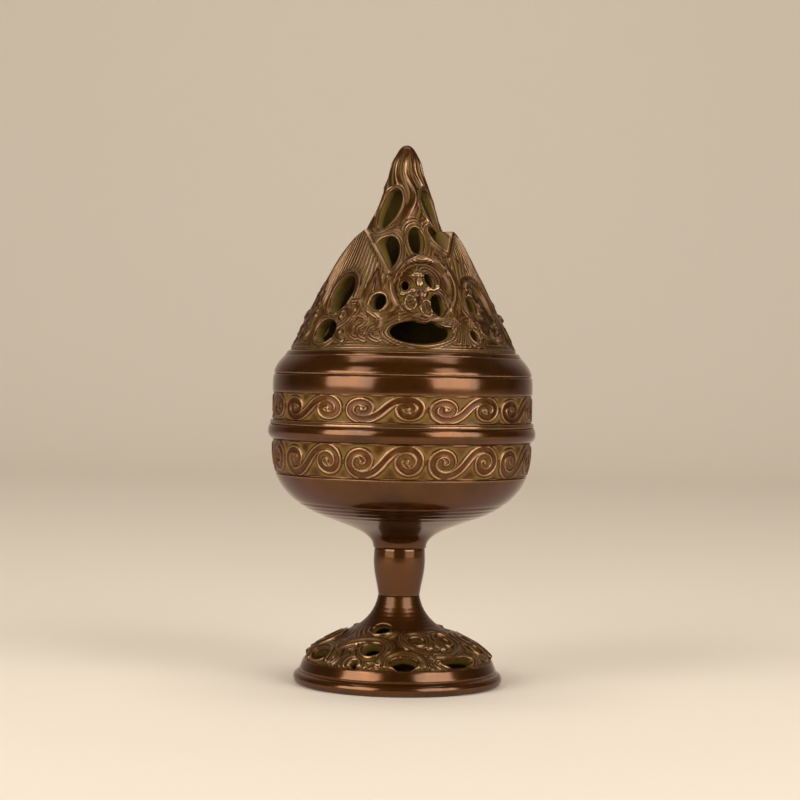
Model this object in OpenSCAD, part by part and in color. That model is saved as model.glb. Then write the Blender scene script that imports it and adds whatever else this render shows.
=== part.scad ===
// Hill censer: a stemmed bronze incense burner with a lift-off lid cast as an openwork mountain.
// Millimetres, +Z up, origin at the middle of the foot on the table, front towards -Y.
// Azimuths are in degrees, 0 at the front and growing towards +X.

/* [Foot ring] */
// Diameter over the rolled edge of the base ring
foot_ring_d = 69.6; // [60:0.2:84]
// Thickness of the rolled edge
foot_roll_t = 4.2; // [3:0.1:5.5]
// Height of the base ring, from the table to the seat of the dome
foot_ring_h = 8; // [6.5:0.1:11]
// How far the ring slopes in from the rolled edge to its ledge
foot_slope_w = 3.4; // [2.4:0.1:5]
// Width of the flat ledge that carries the dome
foot_ledge_w = 4; // [3.4:0.1:6]

/* [Foot dome] */
// How far the dome stands in from the edge of the ledge
foot_dome_inset = 0.4; // [0.2:0.1:1]
// Height of the dome, from its seat to the stem joint
foot_dome_h = 21.3; // [18:0.1:28]
// Thickness of the dome's wall
foot_wall = 2.6; // [2:0.1:3.2]
// Diameter of the collar under the stem
foot_collar_d = 13.8; // [13:0.1:18]
// Height of the nut's seat inside the dome, above the dome's own seat
nut_seat_h = 13; // [11.5:0.1:14]
// Height of one coiling beast on the dome
coil_h = 11; // [8:0.5:13]
// Width of a beast's body on the dome
coil_w = 3.2; // [2:0.1:4]
// How far the beasts stand out from the dome
coil_out = 0.6; // [0.3:0.1:1]

/* [Stem] */
// Height of the stem between its two joint lines
stem_h = 16; // [10:0.5:40]
// Diameter of the stem at its foot
stem_bottom_d = 13.8; // [12.6:0.1:18]
// Diameter of the stem under the bowl
stem_top_d = 17.2; // [14:0.1:22]
// Radius of the stem's rounded upper shoulder
stem_shoulder_r = 1.2; // [0.4:0.1:2]
// Diameter of the two tenons that locate the stem
tenon_d = 9.6; // [8.6:0.1:10.2]
// Length of each tenon
tenon_l = 3; // [2:0.1:4]

/* [Bowl] */
// Diameter of the neck where the bowl meets the stem
bowl_neck_d = 17.6; // [15:0.1:24]
// Height from the stem joint to the lowest level of the belly curve
bowl_neck_h = 6.7; // [6:0.1:10]
// Diameter at which the neck's flare runs into the belly
bowl_flare_d = 48; // [40:0.5:56]
// Diameter of the belly at its widest
bowl_belly_d = 86.8; // [84:0.2:100]
// Depth of the belly below its widest level
bowl_belly_h = 27; // [22:0.2:36]
// Squareness of the belly curve, 2 being an ellipse
belly_power = 2.4; // [2:0.05:3]
// Thickness of the floor under the belly curve
bowl_floor_t = 3.2; // [2.6:0.1:5]
// Thickness of the wall between the ground of the scroll bands and the mouth
bowl_wall_t = 3.2; // [2.4:0.1:4.5]
// How far the lower scroll band reaches above the belly's widest level
lower_band_rise = 2; // [1:0.1:4]
// Height of the moulding between the two scroll bands
moulding_h = 6.5; // [5.6:0.1:9]
// How far the moulding's roll stands out from the belly
moulding_out = 1.1; // [0.6:0.1:1.8]
// Height of the plain rim band
rim_band_h = 6.1; // [4:0.1:9]
// How far the rim band stands out from the ground of the scroll bands
rim_band_out = 0.5; // [0.3:0.1:1]

/* [Scrollwork] */
// Height of the upper scroll band
upper_band_h = 9; // [8.4:0.1:12]
// Height of the lower scroll band
lower_band_h = 11.7; // [10:0.1:14]
// How deep the ground of both bands is sunk
band_sink = 0.7; // [0.4:0.1:1]
// How far the scrolls stand out of their ground
scroll_relief = 0.6; // [0.3:0.1:1]
// Width of a scroll's strand
scroll_w = 1.1; // [0.8:0.1:1.3]
// Number of S scrolls round each band
scroll_count = 10; // [6:1:10]
// Clear space between neighbouring scrolls of the lower band
scroll_space = 1.3; // [0.8:0.1:4]
// Turns of each spiral
scroll_turns = 1.25; // [0.75:0.25:1.5]
// Clear margin between the scrolls and the edges of their band
scroll_margin = 0.6; // [0.3:0.1:1.2]
// Azimuth of the scroll nearest the front
scroll_azimuth = -7.4; // [-18:0.2:18]

/* [Lid rim] */
// How far the rim stands in from the belly's widest
lid_rim_inset = 0.6; // [0:0.1:1.6]
// Height of the rim above the bowl
lid_rim_h = 7.7; // [6:0.1:11]
// Height of the upright edge at the bottom of the rim
lid_edge_h = 0.9; // [0.5:0.1:2]
// How far the bevel runs in from the rim to the ledge
lid_bevel_w = 4.8; // [3:0.1:8]
// How far the bevel swells
lid_bevel_bulge = 0.5; // [0:0.1:1]
// Width of the ledge that carries the hill
lid_ledge_w = 4.6; // [4:0.1:6]
// How far the ledge shows outside the hill
lid_ledge_out = 0.5; // [0.2:0.1:1]
// Length of the locating lip inside the bowl's mouth
lid_lip_h = 5; // [3:0.1:8]
// Thickness of the locating lip
lid_lip_t = 2.2; // [1.6:0.1:3]

/* [Hill] */
// Height of the hill, from its seat to the tip
hill_h = 68.6; // [56:0.2:84]
// How far the ground between the peaks lies inside their feet
peak_out = 0.5; // [0.3:0.1:1.2]
// Diameter of the ring of peaks at the height of their tips
peak_ring_d = 34.4; // [32:0.2:40]
// Height of the highest peak tip above the seat
peak_ring_h = 40; // [36:0.2:46]
// How far the hollow behind each peak drops from its tip
peak_cup_h = 5; // [3:0.1:8]
// Diameter of the spire under its rounded tip
spire_d = 9; // [7:0.1:11]
// Length of the spire's rounded tip
spire_tip_h = 6.9; // [5:0.1:9]
// Thickness of the hill's wall
hill_wall = 2.6; // [2:0.1:3.2]
// Height of the belt above the seat where the feet of the peaks run together
belt_h = 8; // [5:0.5:11]
// How far the small peaks stand out from the flank of the others
small_peak_out = 0.5; // [0.3:0.1:0.8]
// How far the frames and beasts stand out from the flank of the peaks
relief_out = 1.1; // [0.9:0.1:1.4]
// Height of the oval niche at the front
niche_h = 19.2; // [14:0.2:22]
// Width of the oval niche at the front
niche_w = 20.4; // [15:0.2:22]
// Depth of the niches
niche_depth = 1.4; // [0.8:0.1:1.6]
// Width of the raised frames round the niche and over the tall openings
frame_w = 1.4; // [0.8:0.1:2]
// Height of the figure in the niche
figure_h = 13.4; // [9:0.2:15]
// How far the figure stands out from the floor of the niche
figure_out = 1.9; // [1.2:0.1:2.4]
// Height of the group of beasts beside the niche
beast_h = 12.4; // [9:0.2:14]
// Width of a beast's body on the hill
beast_w = 1.7; // [1.2:0.1:2.4]
// Diameter of the round rocks on the hill
rock_d = 5.2; // [4.4:0.1:5.8]

/* [Fixing] */
// Diameter of the tie rod
rod_d = 6; // [5:0.5:6]
// Length of the rod's hold in the bowl, past the tenon
rod_hold = 3.6; // [3:0.1:4]
// Diameter of the washer
washer_d = 12; // [11:0.5:13]
// Thickness of the washer
washer_t = 1.4; // [1:0.1:2]
// Width of the nut across its flats
nut_af = 10; // [8.5:0.5:11]
// Thickness of the nut
nut_t = 5; // [3:0.1:6]
// Length of rod that shows below the nut
rod_end = 1.5; // [0.5:0.1:3]

/* [Fits] */
// Radial clearance of the lid's lip in the bowl
lid_gap = 0.3; // [0.2:0.05:0.6]
// Gap between the lid and the bowl's rim
seat_gap = 0.1; // [0.05:0.05:0.3]
// Radial clearance of the tenons in their sockets
tenon_gap = 0.1; // [0.05:0.05:0.3]
// Radial clearance of the rod in its holes
rod_gap = 0.15; // [0.05:0.05:0.3]
// Depth that each socket has to spare
socket_spare = 0.2; // [0.1:0.05:0.5]
// Gap between the scrolls and their ground
scroll_gap = 0.05; // [0.03:0.01:0.1]

/* [Hidden] */
$fn = 64;

// Colours of the patinated bronze and of the plain fixings
dark_bronze = [0.27, 0.15, 0.08];
red_bronze = [0.36, 0.19, 0.10];
olive_bronze = [0.40, 0.32, 0.17];
plain_steel = [0.62, 0.62, 0.64];

// Levels, stacked from the table upwards
foot_seat_z = foot_ring_h;
stem_z = foot_seat_z + foot_dome_h;
bowl_z = stem_z + stem_h;
belly_floor_z = bowl_z + bowl_neck_h;
belly_z = belly_floor_z + bowl_belly_h;
moulding_z = belly_z + lower_band_rise;
upper_band_z = moulding_z + moulding_h;
rim_band_z = upper_band_z + upper_band_h;
bowl_top_z = rim_band_z + rim_band_h;
lid_z = bowl_top_z + seat_gap;
hill_z = lid_z + lid_rim_h;
lower_band_z = moulding_z - lower_band_h;
nut_seat_z = foot_seat_z + nut_seat_h;

// Radii that more than one piece uses
foot_ledge_r = foot_ring_d / 2 - foot_slope_w;
foot_dome_r = foot_ledge_r - foot_dome_inset;
foot_collar_r = foot_collar_d / 2;
belly_r = bowl_belly_d / 2;
band_r = belly_r - band_sink;
mouth_r = band_r - bowl_wall_t;
lip_r = mouth_r - lid_gap;
lid_rim_r = belly_r - lid_rim_inset;
lid_ledge_r = lid_rim_r - lid_bevel_w;
hill_r = lid_ledge_r - lid_ledge_out;
rod_r = rod_d / 2;
rod_hole_r = rod_r + rod_gap;
tenon_r = tenon_d / 2;
socket_r = tenon_r + tenon_gap;

// Points on a cubic curve through its two end points, drawn towards its two middle points
function curve(p, t) = p[0] * pow(1 - t, 3) + p[1] * 3 * t * pow(1 - t, 2)
                     + p[2] * 3 * t * t * (1 - t) + p[3] * pow(t, 3);
function curve_points(p, n) = [for (i = [0 : n]) curve(p, i / n)];
function curve_slope(p, t) = (p[1] - p[0]) * 3 * pow(1 - t, 2)
                           + (p[2] - p[1]) * 6 * t * (1 - t) + (p[3] - p[2]) * 3 * t * t;
function curve_out(p, t) = let (s = curve_slope(p, t)) [s[1], -s[0]] / norm(s);
function reversed(list) = [for (i = [len(list) - 1 : -1 : 0]) list[i]];

// Foot dome: convex shoulder running up into a trumpet under the stem
dome_shoulder = 0.81;
dome_turn = 0.38;
dome_flare = 2.1;
dome_curve = [[foot_dome_r, foot_seat_z],
              [foot_dome_r * dome_shoulder, foot_seat_z + foot_dome_h * dome_turn],
              [foot_collar_r + dome_flare, foot_seat_z + foot_dome_h * dome_turn],
              [foot_collar_r, stem_z]];
dome_steps = 24;

// Openings in the foot: azimuth, place along the dome's curve from 0 to 1, then half width and half height
// as shares of the dome's height
dome_vents = [[-24, 0.63, 0.165, 0.131], [-20, 0.28, 0.155, 0.155], [4, 0.085, 0.2, 0.122],
              [41, 0.075, 0.291, 0.089], [-62, 0.12, 0.216, 0.108], [47, 0.42, 0.089, 0.131],
              [18, 0.43, 0.113, 0.089], [74, 0.2, 0.122, 0.117], [102, 0.08, 0.244, 0.085],
              [128, 0.6, 0.15, 0.117], [138, 0.27, 0.15, 0.146], [170, 0.08, 0.216, 0.085],
              [186, 0.42, 0.108, 0.094], [214, 0.25, 0.15, 0.146], [232, 0.6, 0.146, 0.113],
              [246, 0.08, 0.254, 0.085], [-90, 0.36, 0.113, 0.108]];

// Bodies of the beasts on the foot, as points about their middle in elevenths of a coil's height:
// a coil with a tail, a hook, and an arch
coil_line = [[4.2, -5.6], [5.8, -1.6], [4.9, 3], [1.2, 5.6],
             [-3.6, 5.4], [-8.4, 3.4], [-12.6, 0.4], [-15.4, -4]];
hook_line = [[3.6, -2.8], [4.5, 1], [2, 4.2], [-2.2, 4], [-4.4, 0.4],
             [-3.4, -4], [0.6, -6.8], [5.6, -8.4], [10, -8]];
arch_line = [[-6.4, -2.2], [-5.6, 2.2], [-1.8, 4.4], [2.4, 4.2], [5.8, 1.8], [6.8, -2.2]];
coil_count = 11;
// Where they lie: line, azimuth, place along the dome's curve, and -1 for a mirror image
coils = [[coil_line, -20, 0.28, 1], [hook_line, 18, 0.43, 1], [arch_line, 4, 0.085, 1],
         [hook_line, 47, 0.4, -1], [arch_line, -62, 0.12, 1], [coil_line, 84, 0.3, -1],
         [arch_line, 102, 0.08, 1], [coil_line, 138, 0.27, 1], [hook_line, 186, 0.42, 1],
         [arch_line, 170, 0.08, 1], [coil_line, 214, 0.26, -1], [arch_line, 246, 0.08, 1],
         [hook_line, -90, 0.36, -1]];

// Bowl: a squared belly curve, and the flare that joins it to the neck
function belly_at(z) =
    belly_r * pow(1 - pow(max(0, belly_z - z) / bowl_belly_h, belly_power), 1 / belly_power);
function belly_height(r) = belly_z - bowl_belly_h * pow(1 - pow(r / belly_r, belly_power), 1 / belly_power);
bowl_hollow_h = bowl_belly_h - bowl_floor_t;
function hollow_height(r) =
    belly_z - bowl_hollow_h * pow(1 - pow(r / mouth_r, belly_power), 1 / belly_power);
neck_r = bowl_neck_d / 2;
flare_r = bowl_flare_d / 2;
flare_z = belly_height(flare_r);
neck_lift = 0.5;
flare_pull = 0.57;
flare_drop = 2.6;
neck_curve = [[neck_r, bowl_z],
              [neck_r, bowl_z + (flare_z - bowl_z) * neck_lift],
              [neck_r + (flare_r - neck_r) * flare_pull, flare_z - flare_drop],
              [flare_r, flare_z]];
bowl_steps = 18;
rim_steps = 6;
rim_fullness = 0.4;
function ground_at(z) = belly_at(z) - band_sink;

// Hill: ground curve between the peaks, and the straight flank of the peaks themselves
ground_r = hill_r - peak_out;
ground_low = [0.65, 0.29];
ground_high = [0.26, 0.6];
ground_curve = [[ground_r, 0], [ground_r * ground_low[0], hill_h * ground_low[1]],
                [ground_r * ground_high[0], hill_h * ground_high[1]], [spire_d / 2, hill_h - spire_tip_h]];
function flank_at(h) = hill_r + (peak_ring_d / 2 - hill_r) * h / peak_ring_h;
tip_curve = [[spire_d / 2, hill_h - spire_tip_h], [spire_d / 2 * 0.9, hill_h - spire_tip_h / 2],
             [spire_d / 4, hill_h], [0, hill_h]];
hollow_top = 0.86;
hill_steps = 16;
tip_steps = 6;

// Peaks: azimuth, tip as a share of the ring's height, half width as a share of the hill's radius, fullness
// of the flanks, and how far the flank is set back, as a share of the step between the peaks and the ground
peaks = [[-58, 1, 0.8, 1.9, 0], [66, 0.98, 0.56, 1.6, 0.2], [14, 0.795, 0.336, 5, 0.5],
         [126, 0.9, 0.693, 1.8, 0.1], [184, 0.99, 0.72, 1.8, 0.3], [240, 0.88, 0.64, 1.9, 0.4]];
peak_steps = 10;
// How far the belt between their feet is set back, as a share of the same step
belt_back = 0.6;

// Small peaks that stand before the others: azimuth, tip, half width and fullness as above
small_peaks = [[-21, 0.712, 0.24, 1.3], [41, 0.575, 0.213, 1.2], [100, 0.675, 0.24, 1.3],
               [154, 0.725, 0.24, 1.3], [212, 0.7, 0.24, 1.3], [268, 0.675, 0.24, 1.3]];
small_peak_steps = 5;

// Middle of the niche, and the side niche to its right: azimuth, height as a share of the ring's height,
// then half width and half height as shares of the hill's radius
niche_azimuth = 14;
niche_mid = peak_ring_h * 0.5125;
side_niche = [56, 0.3375, 0.187, 0.253];

// Figure in the niche, as shares of its height: balls of the head, the topknot, the chest, the lap,
// the knees and the hands, as places across and up from its middle and radii; then the ends of each sleeve
figure_azimuth = 10.6;
figure_mid = peak_ring_h * 0.465;
figure_balls = [[0, 0.33, 0.15], [0.01, 0.49, 0.08], [0, 0.06, 0.2], [0.01, -0.2, 0.27],
                [-0.28, -0.3, 0.175], [0.29, -0.34, 0.17], [-0.45, -0.02, 0.095], [0.48, 0.2, 0.115]];
sleeves = [[[-0.08, 0.06], [-0.44, -0.02]], [[0.08, 0.11], [0.47, 0.2]]];
sleeve_r = 0.08;
niche_floor = niche_depth + peak_out / 2;

// Beasts beside the niche, as points about their middle: across in parts of the hill's radius and up in
// parts of their own height
beast_lines = [[[-6.8, 12.2], [-5.6, 13.6], [-3.5, 13.6], [-2.1, 11],
                [-4, 8.6], [-6.3, 7.4], [-5.2, 4.4], [-2.3, 3.4]],
               [[-2.6, 15.6], [0.3, 15.8], [2, 13.2], [0.2, 10.6], [-1.5, 8.4], [-0.3, 5.4], [2.3, 4.2]],
               [[2.3, 11.6], [4.4, 10.8], [4.3, 8], [2.1, 7.4], [2.8, 4.6], [5.2, 3.6]],
               [[4.6, 13.2], [6.9, 11.8], [8.9, 10.6], [8.4, 7.6], [6.1, 7], [6.8, 4.4], [9.2, 3.6]]];
beast_count = [37.5, 12.4];
beast_azimuths = [-29, 103, 167, 233];
function beast_path(line) =
    [for (p = line) [p[0] * hill_r / beast_count[0], p[1] * beast_h / beast_count[1]]];

// Rocks in the side niche, and the turns at which they come again: azimuth and share of the ring's height
rocks = [[58.5, 0.4], [51.6, 0.19], [63.5, 0.325], [58, 0.255], [60.2, 0.115], [50.4, 0.465]];
rock_turns = [0, 54, 124];
rock_sink = rock_d * 0.38;

// Openings in the hill: azimuth, height, half width, half height and lean. Their heights are shares of the
// hill's height, and their widths shares of a girth that follows its radius
hill_girth = hill_r * 1.8293333;
hill_vents = [[-31, 0.684, 0.044, 0.09, 12], [58, 0.69, 0.045, 0.087, -8], [172, 0.68, 0.044, 0.085, 10],
              [262, 0.69, 0.045, 0.085, -8], [-18, 0.462, 0.045, 0.08, 0], [13.5, 0.535, 0.029, 0.066, 0],
              [50, 0.535, 0.035, 0.047, -20], [96, 0.5, 0.035, 0.067, 0], [146, 0.48, 0.038, 0.067, 6],
              [220, 0.48, 0.038, 0.067, -6], [268, 0.5, 0.034, 0.064, 0], [-46, 0.266, 0.063, 0.09, 14],
              [-16.5, 0.228, 0.034, 0.04, 25], [-47.5, 0.09, 0.066, 0.052, 0], [22.5, 0.216, 0.032, 0.05, 0],
              [0.5, 0.307, 0.019, 0.019, 0], [41, 0.076, 0.02, 0.028, -30], [49, 0.221, 0.02, 0.035, 0],
              [84, 0.09, 0.07, 0.052, 0], [96, 0.26, 0.058, 0.085, 0], [118, 0.235, 0.035, 0.041, 0],
              [120, 0.09, 0.067, 0.05, 0], [204, 0.09, 0.067, 0.054, 0], [143, 0.24, 0.035, 0.05, 0],
              [170, 0.26, 0.029, 0.047, 0], [209, 0.248, 0.035, 0.058, 0], [245, 0.09, 0.064, 0.05, 0],
              [250, 0.27, 0.055, 0.082, 0], [272, 0.22, 0.034, 0.041, 0], [270, 0.09, 0.064, 0.052, 0]];
// The wide opening at the front, and the rocks that hang into it: place across and up from its middle,
// half width and half height, in the same shares
front_vent = [9.5, 0.09, 0.155, 0.054];
front_rocks = [[0.015, 0.08, 0.052, 0.038], [0.125, 0.069, 0.054, 0.047]];
// Tall openings under a raised arch, as their places in the list
arched_vents = [11, 19, 27];
arch_gap = 1.2;
vent_steps = 20;
vent_in = hill_wall * 2.3;
vent_out = hill_r * 0.32;

// Ellipse with the long way of the opening upright
function oval(w, h) =
    [for (i = [0 : vent_steps - 1]) let (a = 360 * i / vent_steps) [w * cos(a), h * sin(a)]];

// A flat shape taken outwards at an azimuth from a point of the profile, raised by its elevation
module outwards(azimuth, place, elevation) {
    rotate([0, 0, azimuth])
        translate([0, -place[0], place[1]])
            rotate([90 - elevation, 0, 0])
                translate([0, 0, -vent_in])
                    linear_extrude(vent_in + vent_out) children();
}
module oval_ring(half_w, half_h) {
    difference() {
        polygon(oval(half_w + frame_w, half_h + frame_w));
        polygon(oval(half_w, half_h));
    }
}

// Outline of a band along a line of points
function across(path, i) =
    let (d = path[min(i + 1, len(path) - 1)] - path[max(i - 1, 0)])
    [-d[1], d[0]] / norm(d);
function ribbon(path, half) =
    concat([for (i = [0 : len(path) - 1]) path[i] + across(path, i) * half],
           reversed([for (i = [0 : len(path) - 1]) path[i] - across(path, i) * half]));

// S scroll in the flat: the right-hand spiral, its mirror image through the middle, and the link between
spiral_steps = 12;
link_steps = 5;
function scroll_size(height) = height / 2 - scroll_margin - scroll_w / 2;
scroll_room = 2 * PI * band_r / scroll_count;
scroll_pitch = scroll_room - 2 * scroll_size(lower_band_h) - scroll_w - scroll_space;
eye_r = scroll_w * 0.8;
function spiral(size) =
    let (n = ceil(spiral_steps * scroll_turns))
    [for (i = [0 : n])
        let (r = size + (eye_r - size) * i / n, a = 90 - 360 * scroll_turns * i / n)
        [scroll_pitch / 2 + r * cos(a), r * sin(a)]];
function scroll_link(size) =
    let (half = scroll_pitch / 2,
         p = [[-half, -size], [0, -size], [0, size], [half, size]])
    [for (i = [1 : link_steps - 1]) curve(p, i / link_steps)];
function scroll_path(size) =
    concat([for (p = reversed(spiral(size))) -p], scroll_link(size), spiral(size));

// Strand of a scroll, swept with a square section over the ground of its band
function on_band(p, z0, azimuth, lift) =
    let (z = z0 + p[1], r = ground_at(z) + lift, a = azimuth + p[0] / ground_at(z) * 180 / PI)
    [r * sin(a), -r * cos(a), z];
module scroll(size, z0, azimuth) {
    path = scroll_path(size);
    last = len(path) - 1;
    low = scroll_gap;
    high = scroll_gap + scroll_relief;
    points = [for (i = [0 : last])
        let (side = across(path, i) * scroll_w / 2)
        each [on_band(path[i] + side, z0, azimuth, low), on_band(path[i] - side, z0, azimuth, low),
              on_band(path[i] - side, z0, azimuth, high), on_band(path[i] + side, z0, azimuth, high)]];
    sides = [for (i = [0 : last - 1], k = [0 : 3])
        let (a = 4 * i + k, b = 4 * i + (k + 1) % 4)
        each [[b, b + 4, a + 4], [b, a + 4, a]]];
    end = 4 * last;
    caps = [[2, 1, 0], [3, 2, 0], [end, end + 1, end + 2], [end, end + 2, end + 3]];
    polyhedron(points, concat(sides, caps));
}
module scroll_band(z0, height) {
    for (i = [0 : scroll_count - 1])
        scroll(scroll_size(height), z0 + height / 2, scroll_azimuth + 360 * i / scroll_count);
}

// Plain turned ring with a rolled edge, which stands on the table
module foot_ring() {
    roll_r = foot_roll_t / 2;
    roll_middle = foot_ring_d / 2 - roll_r;
    bore_r = foot_ledge_r - foot_ledge_w;
    color(red_bronze) union() {
        rotate_extrude() polygon([[bore_r, 0], [roll_middle, 0], [roll_middle, foot_roll_t],
                                  [foot_ledge_r, foot_ring_h], [bore_r, foot_ring_h]]);
        rotate_extrude() translate([roll_middle, roll_r]) circle(roll_r);
    }
}

// Beasts that coil between the openings of the foot
module dome_beasts() {
    skin = [for (i = [0 : dome_steps - 1])
        let (t = i / dome_steps, p = curve(dome_curve, t) + coil_out * curve_out(dome_curve, t))
        [p[0], max(p[1], foot_seat_z)]];
    core = [for (i = [0 : dome_steps - 1])
        let (t = i / dome_steps, p = curve(dome_curve, t) - foot_wall / 2 * curve_out(dome_curve, t))
        [p[0], max(p[1], foot_seat_z)]];
    intersection() {
        union() for (c = coils) {
            out = curve_out(dome_curve, c[2]);
            line = [for (p = c[0]) [p[0] * c[3], p[1]] * coil_h / coil_count];
            outwards(c[1], curve(dome_curve, c[2]), atan2(out[1], out[0])) polygon(ribbon(line, coil_w / 2));
        }
        rotate_extrude() polygon(concat(skin, reversed(core)));
    }
}

// Openwork dome of the foot, with the collar that takes the stem and the seat of the tie nut
module foot_dome() {
    outer = curve_points(dome_curve, dome_steps);
    inner = [for (i = [0 : dome_steps])
        let (p = outer[i] - foot_wall * curve_out(dome_curve, i / dome_steps))
        if (p[1] < nut_seat_z && p[0] > rod_hole_r) [p[0], max(p[1], foot_seat_z)]];
    top = inner[len(inner) - 1];
    color(dark_bronze) difference() {
        union() {
            rotate_extrude() polygon(concat(
                outer, [[0, stem_z], [0, nut_seat_z], [top[0], nut_seat_z]], reversed(inner)));
            dome_beasts();
        }
        translate([0, 0, nut_seat_z - vent_in]) cylinder(r = rod_hole_r, h = foot_dome_h + vent_in);
        translate([0, 0, stem_z - tenon_l - socket_spare]) cylinder(r = socket_r, h = foot_dome_h);
        for (v = dome_vents) {
            out = curve_out(dome_curve, v[1]);
            half = [v[2], v[3]] * foot_dome_h;
            outwards(v[0], curve(dome_curve, v[1]), atan2(out[1], out[0])) polygon(oval(half[0], half[1]));
        }
    }
}

// Tapered hollow stem with a tenon at each end
module stem() {
    bottom_r = stem_bottom_d / 2;
    top_r = stem_top_d / 2;
    shoulder = stem_shoulder_r;
    color(dark_bronze) difference() {
        rotate_extrude() polygon(concat(
            [[0, stem_z - tenon_l], [tenon_r, stem_z - tenon_l], [tenon_r, stem_z], [bottom_r, stem_z]],
            [for (a = [0 : 15 : 90]) [top_r - shoulder * (1 - cos(a)), bowl_z - shoulder * (1 - sin(a))]],
            [[tenon_r, bowl_z], [tenon_r, bowl_z + tenon_l], [0, bowl_z + tenon_l]]));
        translate([0, 0, stem_z - 2 * tenon_l]) cylinder(r = rod_hole_r, h = stem_h + 4 * tenon_l);
    }
}

// Bowl: neck, belly with the sunk grounds of the scroll bands, moulding and plain rim
module bowl() {
    belly = [for (i = [0 : bowl_steps])
        let (z = flare_z + (lower_band_z - flare_z) * i / bowl_steps) [belly_at(z), z]];
    lower_ground = [for (i = [0 : bowl_steps])
        let (z = lower_band_z + lower_band_h * i / bowl_steps) [ground_at(z), z]];
    hollow = [for (i = [0 : bowl_steps]) let (r = mouth_r * sin(90 * i / bowl_steps)) [r, hollow_height(r)]];
    rim = [for (i = [0 : rim_steps])
        let (share = i / rim_steps)
        [band_r + rim_band_out * pow(sin(180 * share), rim_fullness), rim_band_z + rim_band_h * share]];
    roll_r = moulding_h * 0.32;
    bead_r = moulding_h * 0.13;
    socket_h = tenon_l + socket_spare;
    color(dark_bronze) difference() {
        union() {
            rotate_extrude() polygon(concat(
                [[0, bowl_z]], curve_points(neck_curve, bowl_steps), belly, lower_ground,
                [[belly_r, moulding_z], [belly_r, upper_band_z], [band_r, upper_band_z]], rim,
                [[mouth_r, bowl_top_z]], reversed(hollow)));
            rotate_extrude()
                translate([belly_r + moulding_out - roll_r, moulding_z + moulding_h * 0.4]) circle(roll_r);
            rotate_extrude() translate([belly_r, upper_band_z - bead_r]) circle(bead_r);
        }
        translate([0, 0, bowl_z - socket_h]) cylinder(r = socket_r, h = 2 * socket_h);
        translate([0, 0, bowl_z]) cylinder(r = rod_hole_r, h = socket_h + rod_hold);
    }
}

// Raised S scrolls round the belly
module lower_scrollwork() {
    color(red_bronze) scroll_band(lower_band_z, lower_band_h);
}

// Raised S scrolls under the rim
module upper_scrollwork() {
    color(red_bronze) scroll_band(upper_band_z, upper_band_h);
}

// Rod that draws the foot, the stem and the bowl together
module tie_rod() {
    rod_z = nut_seat_z - washer_t - nut_t - rod_end;
    rod_top_z = bowl_z + tenon_l + rod_hold;
    color(plain_steel) translate([0, 0, rod_z]) cylinder(r = rod_r, h = rod_top_z - rod_z);
}

// Plain washer under the nut's seat
module tie_washer() {
    color(plain_steel) translate([0, 0, nut_seat_z - washer_t]) difference() {
        cylinder(d = washer_d, h = washer_t);
        translate([0, 0, -washer_t]) cylinder(r = rod_hole_r, h = 3 * washer_t);
    }
}

// Hexagon nut on the lower end of the rod
module tie_nut() {
    color(plain_steel) translate([0, 0, nut_seat_z - washer_t - nut_t]) difference() {
        cylinder(d = nut_af / cos(30), h = nut_t, $fn = 6);
        translate([0, 0, -nut_t]) cylinder(r = rod_hole_r, h = 3 * nut_t);
    }
}

// Bevelled rim of the lid, with the lip that centres it in the bowl's mouth
module lid_rim() {
    edge_z = lid_z + lid_edge_h;
    bevel_run = [-lid_bevel_w, hill_z - edge_z];
    bevel = [[lid_rim_r, edge_z],
             [lid_rim_r + lid_bevel_bulge, edge_z] + bevel_run / 3,
             [lid_rim_r + lid_bevel_bulge, edge_z] + bevel_run * 2 / 3,
             [lid_ledge_r, hill_z]];
    color(dark_bronze) rotate_extrude() polygon(concat(
        [[lip_r - lid_lip_t, lid_z - lid_lip_h], [lip_r, lid_z - lid_lip_h]],
        [[lip_r, lid_z], [lid_rim_r, lid_z]],
        curve_points(bevel, 8),
        [[lid_ledge_r - lid_ledge_w, hill_z]]));
}

// Solid between the ground of the hill and the flank of the peaks
module peak_band(set_back) {
    cup_z = peak_ring_h - peak_cup_h;
    ground = [for (p = curve_points(ground_curve, hill_steps)) if (p[1] < cup_z) p - [hill_wall / 2, 0]];
    flank = [[hill_r - set_back, 0], [peak_ring_d / 2 - set_back, peak_ring_h]];
    rotate_extrude() polygon(concat(flank, reversed(ground)));
}
function gable(tip, half_w, fullness, steps) =
    let (side = [for (i = [0 : steps]) [half_w * (1 - pow(i / steps, fullness)), tip * i / steps]])
    concat(side, [for (p = reversed(side)) [-p[0], p[1]]]);
module peak(azimuth, tip, half_w, fullness, set_back) {
    rotate([0, 0, azimuth]) intersection() {
        peak_band(set_back);
        rotate([90, 0, 0]) linear_extrude(2 * hill_r) polygon(gable(tip, half_w, fullness, peak_steps));
    }
}

// Belt where the feet of the peaks run together, falling back to the ground above
module belt() {
    back = belt_back * peak_out;
    points = curve_points(ground_curve, hill_steps);
    ground = [for (p = points) if (p[1] < 2 * belt_h) p - [hill_wall / 2, 0]];
    rotate_extrude() polygon(concat(
        [[flank_at(0) - back, 0], [flank_at(belt_h) - back, belt_h]], reversed(ground)));
}

// A flat shape at a height of the hill, taken outwards from inside the flank as it is at the shape's top
module on_flank(azimuth, h, top) {
    outwards(azimuth, [flank_at(top), h], 0) children();
}

// Small peaks before the others
module front_peaks() {
    intersection() {
        union() for (p = small_peaks) {
            tip = p[1] * peak_ring_h;
            on_flank(p[0], belt_h, tip) polygon(gable(tip - belt_h, p[2] * hill_r, p[3], small_peak_steps));
        }
        peak_band(-small_peak_out);
    }
}

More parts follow.
